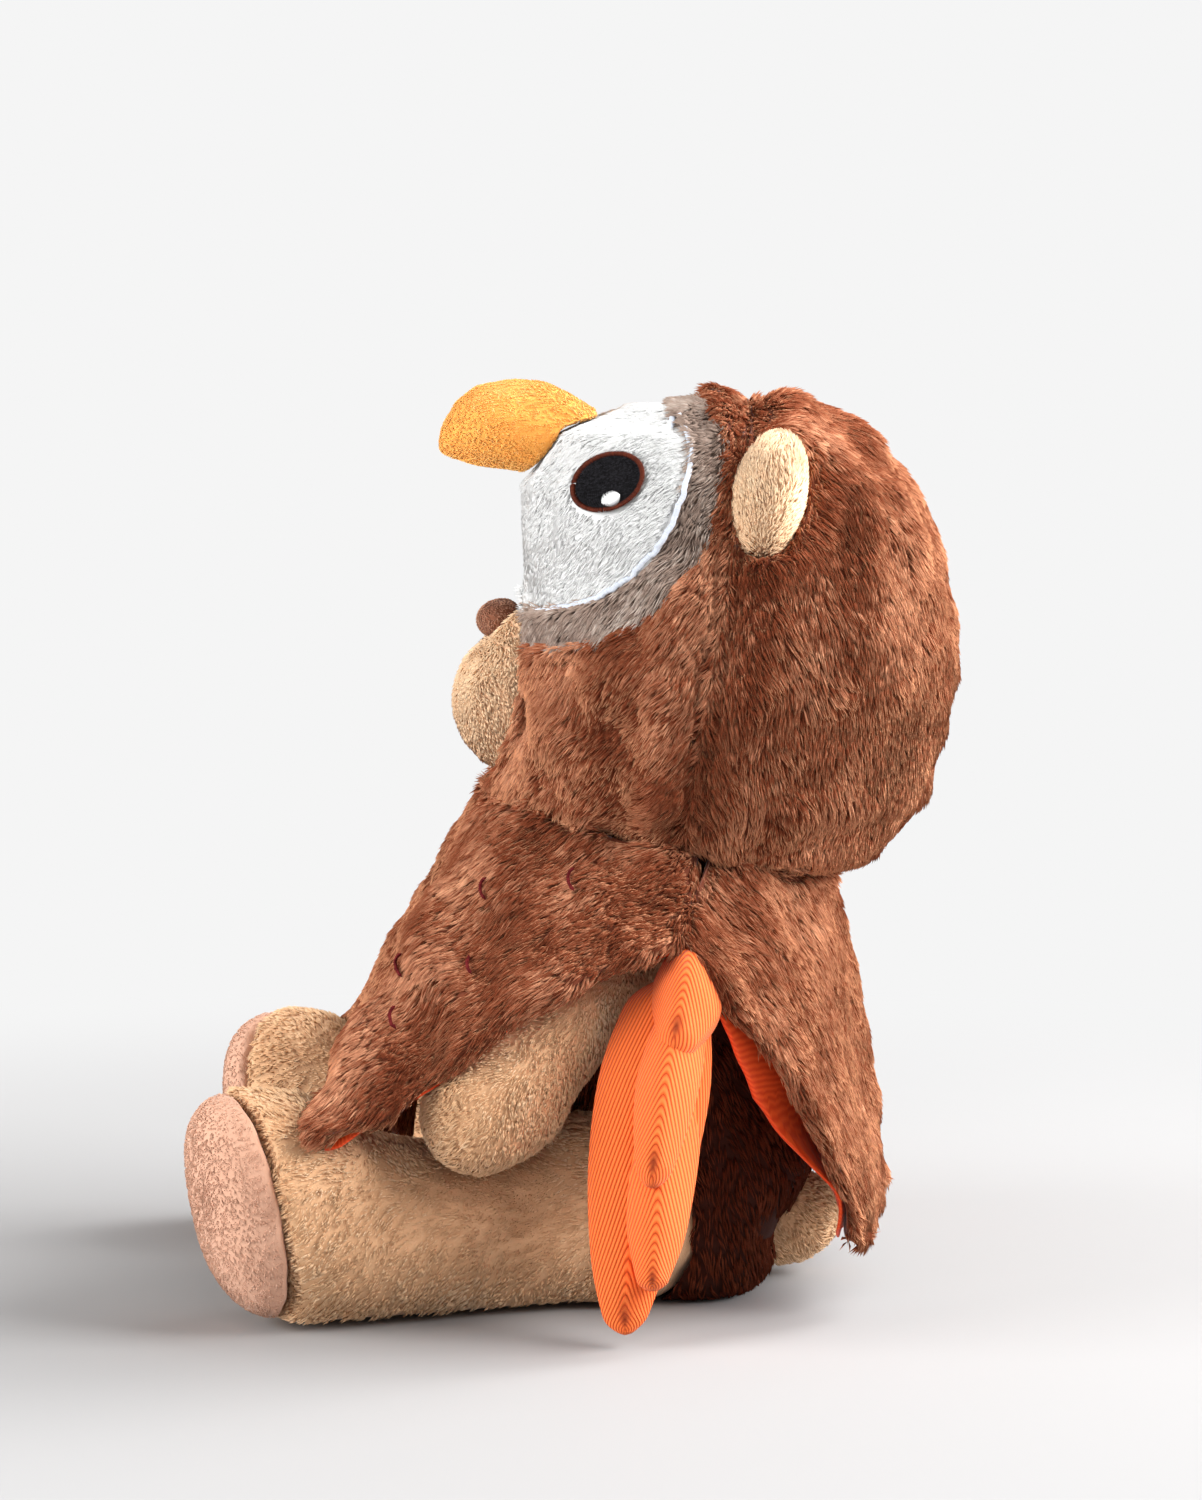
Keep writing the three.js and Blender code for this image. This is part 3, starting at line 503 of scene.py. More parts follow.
# Each thread has its shades, its painted root shade that darkens a stitch at its starting end, sheen and
# gloss.
THREADS = {
    "black": ([(16, 15, 16), (26, 25, 27), (40, 39, 42)], 0.9, 0, 0.03),
    "rust": ([(66, 26, 16), (82, 34, 21), (100, 44, 27)], 0.9, 0, 0.1),
    "bright": ([(236, 236, 236), (243, 243, 243), (250, 250, 250)], 0.95, 0, 0.2),
    "edge": ([(196, 203, 216), (208, 214, 225), (220, 225, 233)], 0.92, 0, 0.2),
    "maroon": ([(84, 22, 24), (100, 30, 32), (118, 40, 40)], 0.9, 0, 0.05),
}
threads = {name: pile_material(f"{name}_thread", *look) for name, look in THREADS.items()}
print("materials:", len(bpy.data.materials))

# %% [markdown]
# Every finished piece is given its material and the body it moves with, and where it stands for a solid,
# that solid is hidden. One function does this, so none of it is forgotten. Two more make a stuffed form and
# the pile of one fabric. A test of place and facing says where pile grows.

# %% Seating a piece
FAR = 999
ANY = (-FAR, FAR)
counts = {}


def seat(piece, body, material, nodes=()):
    piece.data.materials.clear()
    piece.data.materials.append(material)
    if nodes:
        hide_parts(*nodes)
    if body:
        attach(piece, body)
    counts[piece.name] = sum(len(face.vertices) - 2 for face in piece.data.polygons)
    return piece


def form(node, name, voxel, rounds, body, cloth, shape=None):
    piece = stuffed(node, name, voxel, rounds)
    if shape:
        shape(piece)
    return seat(piece, body, cloth.ground, [node])


def fur(name, skin, count, nap, seed, body, cloth, keep=everywhere, pile=None):
    tufts = comb(name, skin, count, nap, pile or cloth.pile, seed, keep)
    return seat(tufts, body, cloth.threads)


def outward_from(centre, least):
    middle = np.array(centre) * MM
    return lambda points, facing: (facing * unit(points - middle)).sum(axis=1) > least


def on_side(keep, side):
    return lambda points, facing: keep(points, facing) & (points[:, 0] * side >= 0)


def within(keep=everywhere, across=ANY, back=ANY, up=ANY):
    low, high = np.array((across, back, up)).T * MM

    def test(points, facing):
        places = np.column_stack([np.abs(points[:, 0]), points[:, 1:]])
        return keep(points, facing) & ((places > low) & (places < high)).all(axis=1)

    return test


def downward(across, back):
    return np.column_stack(np.broadcast_arrays(across, back, -1.0))


# %% [markdown]
# The hood is sewn from a front and a back panel, with a white face patch and a grey band let into the
# front. Each panel is softened by itself, so the seams stay as valleys. The back rumples in long upright
# folds, and the cheek is pulled into creases towards the neck. All panels are drawn in a little to leave
# room for the pile.

# %% Hood panels
HOOD_CENTRE = (0, 36, 190)
PILE_ROOM = 1.2
SEAM_MIDDLE = np.array((39, 186)) * MM
SEAM_SLOPE = math.tan(math.radians(9))
REAR_ROUNDS = 90


def beyond_seam(points):
    return points[:, 1] - SEAM_MIDDLE[0] - SEAM_SLOPE * (points[:, 2] - SEAM_MIDDLE[1])


def seam_valley(points):
    away = np.abs(beyond_seam(points))
    return 2 * hump(away, 11, 6) - 2.9 * hump(away, 0, 3.5)


def round_rear(piece):
    points = points_of(piece)
    group = piece.vertex_groups.new(name="rear")
    for place, weight in enumerate(rise(beyond_seam(points), 6, 18) * rise(points[:, 2], 142, 156)):
        group.add([place], float(weight), "REPLACE")
    apply_modifier(piece, "SMOOTH", factor=SMOOTHING, iterations=REAR_ROUNDS, vertex_group=group.name)
    piece.vertex_groups.clear()


def hood_panel(node, cloth, lumps):
    panel = stuffed(node, f"{node}_skin", 1.8, 3)
    if node == "hood_back":
        round_rear(panel)
    away = unit(points_of(panel) - np.array(HOOD_CENTRE) * MM)
    outside = ramp((normals_of(panel) * away).sum(axis=1), 0.3, 0.9)
    sculpt(panel, lambda points: (lumps(points) - PILE_ROOM) * outside)
    return seat(panel, "head", cloth.ground, [node])


def back_lumps(points):
    folds = 0.8 * waves(points, (26, 26, 70), 3) + 0.25 * waves(points, 16, 4)
    return folds + seam_valley(points) - 2.2 * hollows(points, (52, 80, 160), 14)


def front_lumps(points):
    return 0.9 * waves(points, (26, 34, 20), 5) + 0.25 * waves(points, 12, 6) + seam_valley(points)


def patch_lumps(points):
    return 0.5 * waves(points, 26, 8) - 1.5 * hollows(points, (48, -2, 205), 9)


hood_back = hood_panel("hood_back", brown, back_lumps)
hood_front = hood_panel("hood_front", brown, front_lumps)
face_band = hood_panel("face_band", grey, lambda points: 0.3 * waves(points, 15, 7))
face_patch = hood_panel("face_patch", white, patch_lumps)
print("hood panels:", sum(counts.values()), "triangles")

# %% [markdown]
# The embroidered eye is sewn into the patch, and no pile grows there. Its outline is a tilted ellipse seen
# from the side. A tuft is kept only where its root falls outside that ellipse, and the stitches are laid in
# the same plane.

# %% Place of the embroidered eye
EYE_CENTRE = np.array((9.6, 231.5)) * MM
EYE_HALF = np.array((10.3, 7.3)) * MM
EYE_TILT = math.radians(25)
EYE_ALONG = np.array((math.cos(EYE_TILT), math.sin(EYE_TILT)))
EYE_UP = np.array((-math.sin(EYE_TILT), math.cos(EYE_TILT)))


def in_eye(points):
    side = points[:, 1:3] - EYE_CENTRE
    return np.hypot(side @ EYE_ALONG / EYE_HALF[0], side @ EYE_UP / EYE_HALF[1])


def eye_plane(along, up):
    return EYE_CENTRE + np.outer(along, EYE_ALONG) + np.outer(up, EYE_UP)


# %% [markdown]
# Embroidery is laid stitch by stitch on the cloth under it. A ray from the side finds the cloth, and each
# stitch is a blade between two such points, lifted a little. The eye has a filling of slanted rows, a satin
# rim whose stitches cross its outline, and a small white glint.

# %% Embroidered eyes
RAY_START = 300 * MM
NEAREST_FROM = 50 * MM
FILL_ROW = 0.26 * MM
FILL_SIZE = 0.95
FILL_STITCH = 1.9 * MM
FILL_STEP = 0.6 * MM
FILL_SHIFT = 0.2 * MM
RIM_STITCHES = 300
RIM_SLANT = 0.05
GLINT_STITCHES = 40
GLINT_HALF = np.array((2.4, 2.2)) * MM
GLINT_MIDDLE = np.array((-1.4, -4.4)) * MM


def surface_of(piece):
    return BVHTree.FromPolygons(
        [vertex.co for vertex in piece.data.vertices],
        [tuple(face.vertices) for face in piece.data.polygons],
    )


def onto(tree, side, flat, lift):
    found = []
    for y, z in flat:
        point, normal, _, _ = tree.ray_cast(Vector((side * RAY_START, y, z)), Vector((-side, 0, 0)))
        if point is None:
            point, normal, _, _ = tree.find_nearest(Vector((side * NEAREST_FROM, y, z)))
        found.append(point + normal * lift * MM)
    return np.array(found)


def stitches(name, tree, side, starts, ends, lift, radius, seed, sag=0.25):
    draw = np.random.default_rng(seed)
    first, last = onto(tree, side, starts, lift), onto(tree, side, ends, lift)
    middle = onto(tree, side, (starts + ends) / 2, lift + sag)
    across = unit(np.cross(last - first, [side, 0, 0]))
    shade = draw.uniform(0.05, 0.95, len(first))
    return blades(name, first, middle, last, np.full(len(first), radius * 2 * MM), across, shade)


def eye_fill():
    starts, ends = [], []
    for row, up in enumerate(np.arange(-1, 1, FILL_ROW / EYE_HALF[1])):
        reach = math.sqrt(max(0, 1 - up * up)) * EYE_HALF[0] * FILL_SIZE
        height = up * EYE_HALF[1] * FILL_SIZE
        for cut in np.arange(-reach + row % 3 * FILL_SHIFT, reach, FILL_STEP):
            starts.append((max(cut, -reach), height))
            ends.append((min(cut + FILL_STITCH, reach), height))
    return eye_plane(*np.array(starts).T), eye_plane(*np.array(ends).T)


def eye_ring(along, up, slant=0):
    turn = np.linspace(0, 2 * math.pi, RIM_STITCHES, endpoint=False) + slant
    return eye_plane(EYE_HALF[0] * along * np.cos(turn), EYE_HALF[1] * up * np.sin(turn))


def eye_glint():
    span = np.linspace(-1, 1, GLINT_STITCHES)
    along = span * GLINT_HALF[0] + GLINT_MIDDLE[0]
    half = np.sqrt(1 - (span * 0.98) ** 2) * GLINT_HALF[1]
    return eye_plane(along, GLINT_MIDDLE[1] - half), eye_plane(along, GLINT_MIDDLE[1] + half)


patch_cloth = surface_of(face_patch)
eye_rim = eye_ring(0.86, 0.82), eye_ring(1.04, 1.06, RIM_SLANT)
for seed, (word, side) in enumerate(SIDES.items()):
    eye = f"mask_eye_{word}"
    fill = stitches(f"{eye}_fill", patch_cloth, side, *eye_fill(), 1.3, 0.3, 400 + seed)
    seat(fill, "head", threads["black"], [eye])
    rim = stitches(f"{eye}_rim", patch_cloth, side, *eye_rim, 1.5, 0.25, 410 + seed, 0.4)
    seat(rim, "head", threads["rust"])
    glint = stitches(f"{eye}_glint", patch_cloth, side, *eye_glint(), 1.8, 0.24, 420 + seed)
    seat(glint, "head", threads["bright"])

# %% [markdown]
# The patch is edged with a pale satin line, made as one flattened cord. Its course is the border between
# the patch and the band, found by going outward from the middle of the patch, in the side view, until a ray
# no longer meets it.

# %% Satin edge of the patch
PATCH_MIDDLE = np.array((8, 222)) * MM
EDGE_WIDTH = 1.6 * MM
EDGE_TURNS = np.radians(np.arange(-127, 62, 0.25))
EDGE_START = 12 * MM
EDGE_STEP = 0.25 * MM
EDGE_ROUNDING = 31
CORD_SIDES = 8
CORD_FLATNESS = 0.6
CORD_TURNS = np.arange(CORD_SIDES) * 2 * math.pi / CORD_SIDES
patch_solid = surface_of(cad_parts["face_patch"])


def edge_reach(way):
    reach = EDGE_START
    while patch_solid.ray_cast(Vector((RAY_START, *(PATCH_MIDDLE + way * reach))), Vector((-1, 0, 0)))[0]:
        reach += EDGE_STEP
    return reach


def rounded(values):
    padded = np.pad(values, EDGE_ROUNDING // 2, mode="edge")
    return np.convolve(padded, np.full(EDGE_ROUNDING, 1 / EDGE_ROUNDING), mode="valid")


EDGE_WAYS = np.column_stack([np.cos(EDGE_TURNS), np.sin(EDGE_TURNS)])
EDGE_REACHES = rounded(np.array([edge_reach(way) for way in EDGE_WAYS]))


def inside_edge(points):
    away = points[:, 1:3] - PATCH_MIDDLE
    turn = np.arctan2(away[:, 1], away[:, 0])
    return np.interp(turn, EDGE_TURNS, EDGE_REACHES, 1, 1) - np.linalg.norm(away, axis=1)


def cord(name, course, side, width, seed):
    count = len(course)
    along = unit(np.gradient(course, axis=0))
    across = unit(np.cross(along, [side, 0, 0]))
    up = CORD_FLATNESS * np.cross(across, along)
    spread = across[:, None] * np.cos(CORD_TURNS)[:, None] + up[:, None] * np.sin(CORD_TURNS)[:, None]
    points = (course[:, None] + width / 2 * spread).reshape(-1, 3)
    ring, spoke = np.meshgrid(np.arange(count - 1) * CORD_SIDES, np.arange(CORD_SIDES), indexing="ij")
    after = (spoke + 1) % CORD_SIDES
    beyond = ring + CORD_SIDES
    walls = np.stack([ring + spoke, ring + after, beyond + after, beyond + spoke], axis=-1)
    ends = [list(range(first, first + CORD_SIDES)) for first in (0, (count - 1) * CORD_SIDES)]
    mesh = bpy.data.meshes.new(name)
    mesh.from_pydata(points.tolist(), [], walls.reshape(-1, 4).tolist() + ends)
    shade = np.random.default_rng(seed).uniform(0.05, 0.95, count)
    chart = mesh.uv_layers.new(name="OFBake")
    for loop, corner in zip(mesh.loops, chart.data):
        place, spoke = divmod(loop.vertex_index, CORD_SIDES)
        # painted shade: the height in the map follows the spokes, so the root shade paints one edge of the
        # cord darker
        corner.uv = (shade[place], 0.5 + 0.4 * math.cos(CORD_TURNS[spoke]))
    return smooth_shell(new_piece(name, mesh))


edge_course = PATCH_MIDDLE + EDGE_WAYS * (EDGE_REACHES - EDGE_WIDTH / 2)[:, None]
for seed, (word, side) in enumerate(SIDES.items()):
    course = np.column_stack([rounded(values) for values in onto(patch_cloth, side, edge_course, 1.3).T])
    edge = cord(f"face_patch_edge_{word}", course, side, EDGE_WIDTH, 430 + seed)
    seat(edge, "head", threads["edge"])

# %% [markdown]
# Pile on the hood. The back hangs straight down, the cheek sweeps down and forward, and the band and the
# patch lie towards the beak. Left and right are combed apart, to keep each mesh a handy size.

# %% Hood pile
SEAM_BARE = 0.2 * MM
EYE_BARE = 1.1
outside_hood = outward_from(HOOD_CENTRE, -0.25)


def beside_seam(points, facing):
    return outside_hood(points, facing) & (np.abs(beyond_seam(points)) > SEAM_BARE)


def patch_outside(points, facing):
    return outside_hood(points, facing) & (in_eye(points) > EYE_BARE) & (inside_edge(points) > EDGE_WIDTH)


def back_nap(points):
    return downward(0, 0.2 + 0.4 * rise(points[:, 2], 200, 250) + 0.3 * hump(beyond_seam(points), 0, 6))


def cheek_nap(points):
    return downward(0, -0.9 + 0.6 * rise(points[:, 2], 190, 240) - 0.4 * hump(beyond_seam(points), 0, 6))


for seed, (word, side) in enumerate(SIDES.items()):
    half_hood = on_side(beside_seam, side)
    fur(f"hood_back_pile_{word}", hood_back, 34000, back_nap, 100 + seed, "head", brown, half_hood)
    fur(f"hood_front_pile_{word}", hood_front, 20000, cheek_nap, 140 + seed, "head", brown, half_hood)
fur("face_band_pile", face_band, 13000, (0, -0.7, -1), 180, "head", grey, outside_hood)
fur("face_patch_pile", face_patch, 21000, (0, -0.7, -0.7), 190, "head", white, patch_outside)
print("pile on the hood:", sum(counts[name] for name in counts if "pile" in name), "triangles")

# %% [markdown]
# Inside the hood are its lining, the bear's own head and the face that looks out of the opening. The lining
# is thin and mostly hidden, so its solid is only smoothed in shading. Head, muzzle and ears are stuffed,
# and the muzzle and the ears carry a short woolly pile in a paler copy of the beige plush, which is painted
# light. The cheeks rise beside the nose, and the ears are pressed flat by the hood.

# %% Head, muzzle, nose and ears
CHEEK_RISE = 6.5 * MM
EAR_ROOT = 54 * MM
EAR_FLAT = 0.35


def raise_cheeks(piece):
    with moving(piece) as points:
        across, back, up = np.abs(points[:, 0]), points[:, 1], points[:, 2]
        up += CHEEK_RISE * hump(across, 15, 8) * rise(back, -30, -14) * rise(up, 168, 188)


def flatten_ear(piece):
    with moving(piece) as points:
        proud = np.maximum(np.abs(points[:, 0]) - EAR_ROOT, 0)
        points[:, 0] -= np.sign(points[:, 0]) * EAR_FLAT * proud


lining = pattern_of("hood_lining", "hood_lining_cloth")
bpy.ops.object.shade_smooth_by_angle(angle=math.radians(40))
seat(lining, "head", lining_cloth, ["hood_lining"])
form("head", "head_form", 3, 20, "head", beige)
muzzle = form("muzzle", "muzzle_form", 1.4, 14, "head", pale, raise_cheeks)
fur("muzzle_pile", muzzle, 9000, (0, 0.4, -0.6), 210, "head", pale, outward_from((0, 20, 169), 0))
nose = form("nose", "nose_form", 0.7, 10, "head", umber)
fur("nose_pile", nose, 2000, (0, 0.4, -0.6), 215, "head", umber)
for seed, word in enumerate(SIDES):
    ear = form(f"ear_{word}", f"ear_{word}_form", 1.4, 14, "head", pale, flatten_ear)
    fur(f"ear_{word}_pile", ear, 5500, (0, 0.1, 1), 220 + seed, "head", pale, within(across=(50, FAR)))

# %% [markdown]
# The bead eyes sit in the shade of the hood. A bead is a turned, polished dome, so it is the one glossy
# thing here: a finely remeshed copy of its solid with a dark, clear-coated finish and a faint mottle in its
# colour.

# %% Bead eyes
bead_gloss, bead_tree, bead_inputs = new_material("bead_gloss", 0.12, 0)
bead_inputs["Coat Weight"].default_value = 0.6
bead_tone = mix(bead_tree, noise(bead_tree, 700), colour(12, 9, 8), colour(34, 22, 16))
bead_tree.links.new(bead_tone, bead_inputs["Base Color"])
for word in SIDES:
    bead = stuffed(f"bead_eye_{word}", f"bead_eye_{word}_dome", 0.4, 8)
    seat(bead, "head", bead_gloss, [f"bead_eye_{word}"])

# %% [markdown]
# The padded beak is cut from a short yellow-orange pile. Its solid already has the hook, so it is only
# softened and given slight lumps. No pile grows on its root, which lies inside the hood.

# %% Beak
beak = form("beak", "beak_form", 1.2, 14, "head", yellow, lumpy(0.5, 22, 41))
fur("beak_pile", beak, 11000, (0, -1, -0.3), 240, "head", yellow, within(back=(-FAR, 16)))

# %% [markdown]
# Torso, suit and tail. The torso is hidden in the suit. The suit is a darker pile that creases where the
# bear sits, and the creases run across, so its folds are stretched sideways. The seat is drawn in below the
# tail and swells above it. The tail is a small woolly stub.

# %% Torso, suit and tail
SEAT_IN = 3 * MM
SEAT_OUT = 7 * MM
TAIL_GROWTH = 1.9
TAIL_RISE = 1.22
TAIL_BACK = 3 * MM
suit_outside = within(outward_from((0, 31, 65), -0.2), up=(1.5, 100))
crease_suit = lumpy(0.8, (40, 40, 16), 51, 0.8, (4, 20))


def draw_in(piece):
    with moving(piece) as points:
        back, up = points[:, 1], points[:, 2]
        back -= SEAT_IN * rise(back, 42, 60) * (1 - rise(up, 10, 40))
        back += SEAT_OUT * rise(back, 42, 60) * hump(up, 38, 13)


def shape_suit(piece):
    draw_in(piece)
    crease_suit(piece)


def grow_tail(piece):
    with moving(piece) as points:
        rear = points[:, 1].max()
        points[:, 1] = rear - (rear - points[:, 1]) * TAIL_GROWTH + TAIL_BACK
        points[:, 2] *= TAIL_RISE


form("body", "torso_form", 4, 12, "torso", beige, draw_in)
suit_skin = form("bodysuit", "bodysuit_skin", 2, 5, "torso", suit, shape_suit)
fur("bodysuit_pile", suit_skin, 13000, (0, 0.2, -1), 250, "torso", suit, suit_outside)
tail = form("tail", "tail_form", 1.4, 10, "torso", beige, grow_tail)
fur("tail_pile", tail, 4500, (0, 0.7, -0.6), 255, "torso", beige, within(up=(3.5, FAR)))

# %% [markdown]
# Arms and legs are stuffed tubes with a short, slightly matted pile. The legs lie on the floor, so no tuft
# starts in their flat underside, and no tip goes below the floor. The soles are velour: a subdivided dome
# whose pile is so short that it only softens the edge.

# %% Arms, legs and soles
arm_outside = within(across=(55, FAR))
leg_outside = within(back=(-FAR, 20), up=(3, FAR))
sole_outside = within(lambda points, facing: facing[:, 1] < 0.5, up=(2, FAR))
for seed, word in enumerate(SIDES):
    arm, leg, pad = f"arm_{word}", f"leg_{word}", f"foot_pad_{word}"
    arm_form = form(arm, f"{arm}_form", 1.8, 18, arm, beige, lumpy(0.5, 24, 61))
    fur(f"{arm}_pile", arm_form, 11500, (0, -0.6, -0.7), 260 + seed, arm, beige, arm_outside)
    leg_form = form(leg, f"{leg}_form", 2, 20, leg, beige, lumpy(0.6, 30, 63, clear=(3, 12)))
    fur(f"{leg}_pile", leg_form, 20500, (0, -0.8, -0.35), 270 + seed, leg, beige, leg_outside)
    sole = subdivided(pattern_of(pad, f"{pad}_dome"), 3)
    seat(sole, leg, pink.ground, [pad])
    fur(f"{pad}_pile", sole, 6000, (0, -0.2, -1), 280 + seed, leg, pink, sole_outside)
print("limbs:", sum(counts[name] for name in counts if name.startswith(("arm", "leg", "foot"))), "triangles")

# %% [markdown]
# The poncho is two lined panels. Each panel is a sheet, so its solid is turned back into four-sided faces,
# creased along its edges and subdivided, which keeps the hem sharp and lets the folds run smoothly. It
# flares over the root of the wing, its rear hem is tucked in, and it is pulled in at the tick stitches of
# the front. The lining shows along the side edge and at the front corner, where it reaches past the panel.

# %% Shapes of the poncho
FLARE = 6 * MM
REAR_TUCK = 4.5 * MM
CORNER_REACH = 3.5 * MM
CORNER_RISE = 2.5 * MM
CORNER_DROP = 3.5 * MM
TICKS = np.array([(-24.6, 118.5), (-0.7, 121.4), (-47.6, 98), (-28.6, 99.4), (-49.8, 84.8)]) * MM
TICK_PULL = 1.1
OFF_MIDDLE = 20 * MM
EDGE_LEVELS = np.arange(20, 104, 3) * MM
EDGE_BAND = 4 * MM
BARE_LEVELS = np.array((20, 36, 44, 52, 63, 76, 86, 98)) * MM
BARE_SHIFTS = np.array((1, -1, 4, 9, 11, 7.5, 4, 0)) * MM


def cloth_panel(node, name, levels):
    piece = pattern_of(node, name)
    with edit_mode(piece):
        bpy.ops.mesh.tris_convert_to_quads(face_threshold=math.radians(60), shape_threshold=math.pi)
        bpy.ops.mesh.select_all(action="DESELECT")
        bpy.ops.mesh.edges_select_sharp(sharpness=math.radians(50))
        bpy.ops.transform.edge_crease(value=0.9)
    return subdivided(piece, levels)


def half_of(panel, name, side):
    half = new_piece(name, panel.data.copy())
    with edit_mode(half):
        bpy.ops.mesh.bisect(plane_co=(0, 0, 0), plane_no=(side, 0, 0), use_fill=True, clear_inner=True,
                            threshold=1e-6)
    return half


def drape(points):
    return 0.7 * waves(points, (22, 22, 70), 71) + 0.2 * waves(points, 14, 72)


def pulled_in(points):
    depth = drape(points)
    for place in TICKS:
        away = np.linalg.norm(points[:, 1:3] - place, axis=1)
        depth -= TICK_PULL * hump(away, 0, 7) * (np.abs(points[:, 0]) > OFF_MIDDLE)
    return depth


def bare_edge(lining):
    with moving(lining) as points:
        across, back, up = points.T
        for side in SIDES.values():
            mine = across * side > OFF_MIDDLE
            edge = [back[mine & (np.abs(up - level) < EDGE_BAND)].min() for level in EDGE_LEVELS]
            near = 1 - rise(back - np.interp(up, EDGE_LEVELS, edge), 0, 16)
            back[mine] -= (near * np.interp(up, BARE_LEVELS, BARE_SHIFTS))[mine]


def bare_corner(lining):
    with moving(lining) as points:
        across, back, up = points.T
        up -= CORNER_DROP * rise(-back, 50, 68) * rise(np.abs(across), 40, 70)


def flare(panel):
    with moving(panel) as points:
        across, back, up = points.T
        across += FLARE * hump(back, 27, 14) * (1 - rise(up, 100, 120)) * np.sign(across)


def tuck_hem(panel):
    with moving(panel) as points:
        across, back, up = np.abs(points[:, 0]), points[:, 1].copy(), points[:, 2].copy()
        points[:, 1] -= REAR_TUCK * rise(back, 85, 93) * (1 - rise(up, 34, 70))
        corner = rise(across, 45, 55) * (1 - rise(back, 81, 85)) * (1 - rise(up, 18, 34))
        points[:, 1] -= CORNER_REACH * corner
        points[:, 2] += CORNER_RISE * rise(across, 30, 45) * (1 - rise(up, 18, 30))


def sheet_area(piece):
    return sum(face.area for face in piece.data.polygons) / 2


# %% [markdown]
# The front panel is cut down the middle. Its pile sweeps down and forward, and the pile of the back hangs
# down and to the rear. A little pile lines the inside of the front hem, and small bowed stitches are
# scattered over the front.

# %% Poncho
CAPE_AXIS = 36 * MM
CAPE_SLOPE = 40 * MM
TICK_BOW = np.radians(np.linspace(112, 248, 16))
TICK_RADIUS = 3.2 * MM
TICK_SPAN = 4
inside_hem = within(lambda points, facing: facing[:, 1] > 0.2, across=(-FAR, 50), up=(-FAR, 66))


def outside_cape(points, facing):
    away = np.column_stack(np.broadcast_arrays(points[:, 0], points[:, 1] - CAPE_AXIS, CAPE_SLOPE))
    return (facing * unit(away)).sum(axis=1) > -0.25


def front_nap(points):
    return downward(0.3 * np.sign(points[:, 0]), -0.9)


def rear_nap(points):
    return downward(0.15 * np.sign(points[:, 0]), 0.5)


def follow_arm(piece):
    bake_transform(piece)


cape_front = cloth_panel("cape_front", "cape_front_whole", 3)
flare(cape_front)
sculpt(cape_front, pulled_in)
front_lining = cloth_panel("cape_front_lining", "cape_front_lining_whole", 2)
flare(front_lining)
bare_corner(front_lining)
tick_arcs = TICKS[:, None] + TICK_RADIUS * np.column_stack([np.cos(TICK_BOW) + 0.7, np.sin(TICK_BOW)])
tick_starts = tick_arcs[:, :-TICK_SPAN].reshape(-1, 2)
tick_ends = tick_arcs[:, TICK_SPAN:].reshape(-1, 2)
halves = {}
for seed, (word, side) in enumerate(SIDES.items()):
    half = half_of(cape_front, f"cape_front_{word}", side)
    seat(half, None, brown.ground, ["cape_front"])
    pile = fur(f"cape_front_pile_{word}", half, 27000, front_nap, 300 + seed, None, brown, outside_cape)
    half_lining = half_of(front_lining, f"cape_front_lining_{word}", side)
    seat(half_lining, None, lining_cloth, ["cape_front_lining"])
    hem_pile = fur(f"cape_front_hem_pile_{word}", half_lining, 2500, front_nap, 340 + seed,
                   None, brown, inside_hem, PATCH_PILE)
    ticks = stitches(f"cape_front_ticks_{word}", surface_of(half), side, tick_starts, tick_ends,
                     2, 0.55, 440 + seed, 0.3)
    seat(ticks, None, threads["maroon"])
    halves[word] = (half, half_lining, pile, ticks, hem_pile)
for spare in (cape_front, front_lining):
    bpy.data.objects.remove(spare)

cape_back = cloth_panel("cape_back", "cape_back_cloth", 3)
flare(cape_back)
tuck_hem(cape_back)
sculpt(cape_back, drape)
seat(cape_back, "torso", brown.ground, ["cape_back"])
back_piles = [
    fur(f"cape_back_pile_{word}", cape_back, 20000, rear_nap, 320 + seed, "torso", brown,
        on_side(outside_cape, side))
    for seed, (word, side) in enumerate(SIDES.items())
]
back_lining = cloth_panel("cape_back_lining", "cape_back_lining_cloth", 2)
bare_edge(back_lining)
flare(back_lining)
tuck_hem(back_lining)
seat(back_lining, "torso", lining_cloth, ["cape_back_lining"])
for piece in [*halves["left"], *halves["right"], cape_back, back_lining]:
    print(piece.name, "area", round(sheet_area(piece), 5))

# %% [markdown]
# The wings are stuffed corduroy. Each has four feathers, and the wales of the cloth run in nested arches
# round the end of each feather. A feather starts as a sphere with many rings, which are spread along its
# course. Each point keeps its place among the wales as an attribute, and the material draws the wales from
# it as bump and as colour, with painted shade that darkens the grooves between them. A dimple near the tip
# is kept in the same way: it is pressed into the form, and painted shade darkens it in the material.

# %% Wings
Feather = namedtuple("Feather", "rise depth rows")
FEATHERS = [
    Feather(1.3, 1.3, [(68, 31, 97, 8), (76, 31, 94.5, 9.8), (85, 30.3, 90, 9.6), (93, 28.6, 85, 7),
                       (101, 26.4, 79.4, 4)]),
    Feather(1.5, 1.35, [(78, 29, 88, 7), (88, 27, 79, 8.6), (98, 24.5, 67, 8.4), (107, 22, 54, 6.2),
                        (113, 20.5, 45, 3.6)]),
    Feather(1.6, 1.3, [(80, 27, 74, 8), (87, 25, 62, 10), (95, 23, 46, 10.2), (104, 22, 31, 8),
                       (110, 21, 21, 5), (112, 20.8, 16.5, 3.4)]),
    Feather(2.4, 0.55, [(74, 27, 96, 9), (82, 24.5, 84, 13), (88, 21.5, 68, 15.4), (93, 17.8, 46, 14.4),
                        (99, 14.8, 24, 10.8), (104.5, 13.6, 10, 6.8), (107, 13.6, 3.4, 4)]),
]
WALE = 1.35
AROUND = 56
RINGS = 90
STEP = 0.01
TIP_CAP = 0.14
ROOT_CAP = 0.12
RIDGE = 0.35
PIT_DEPTH = 1.2


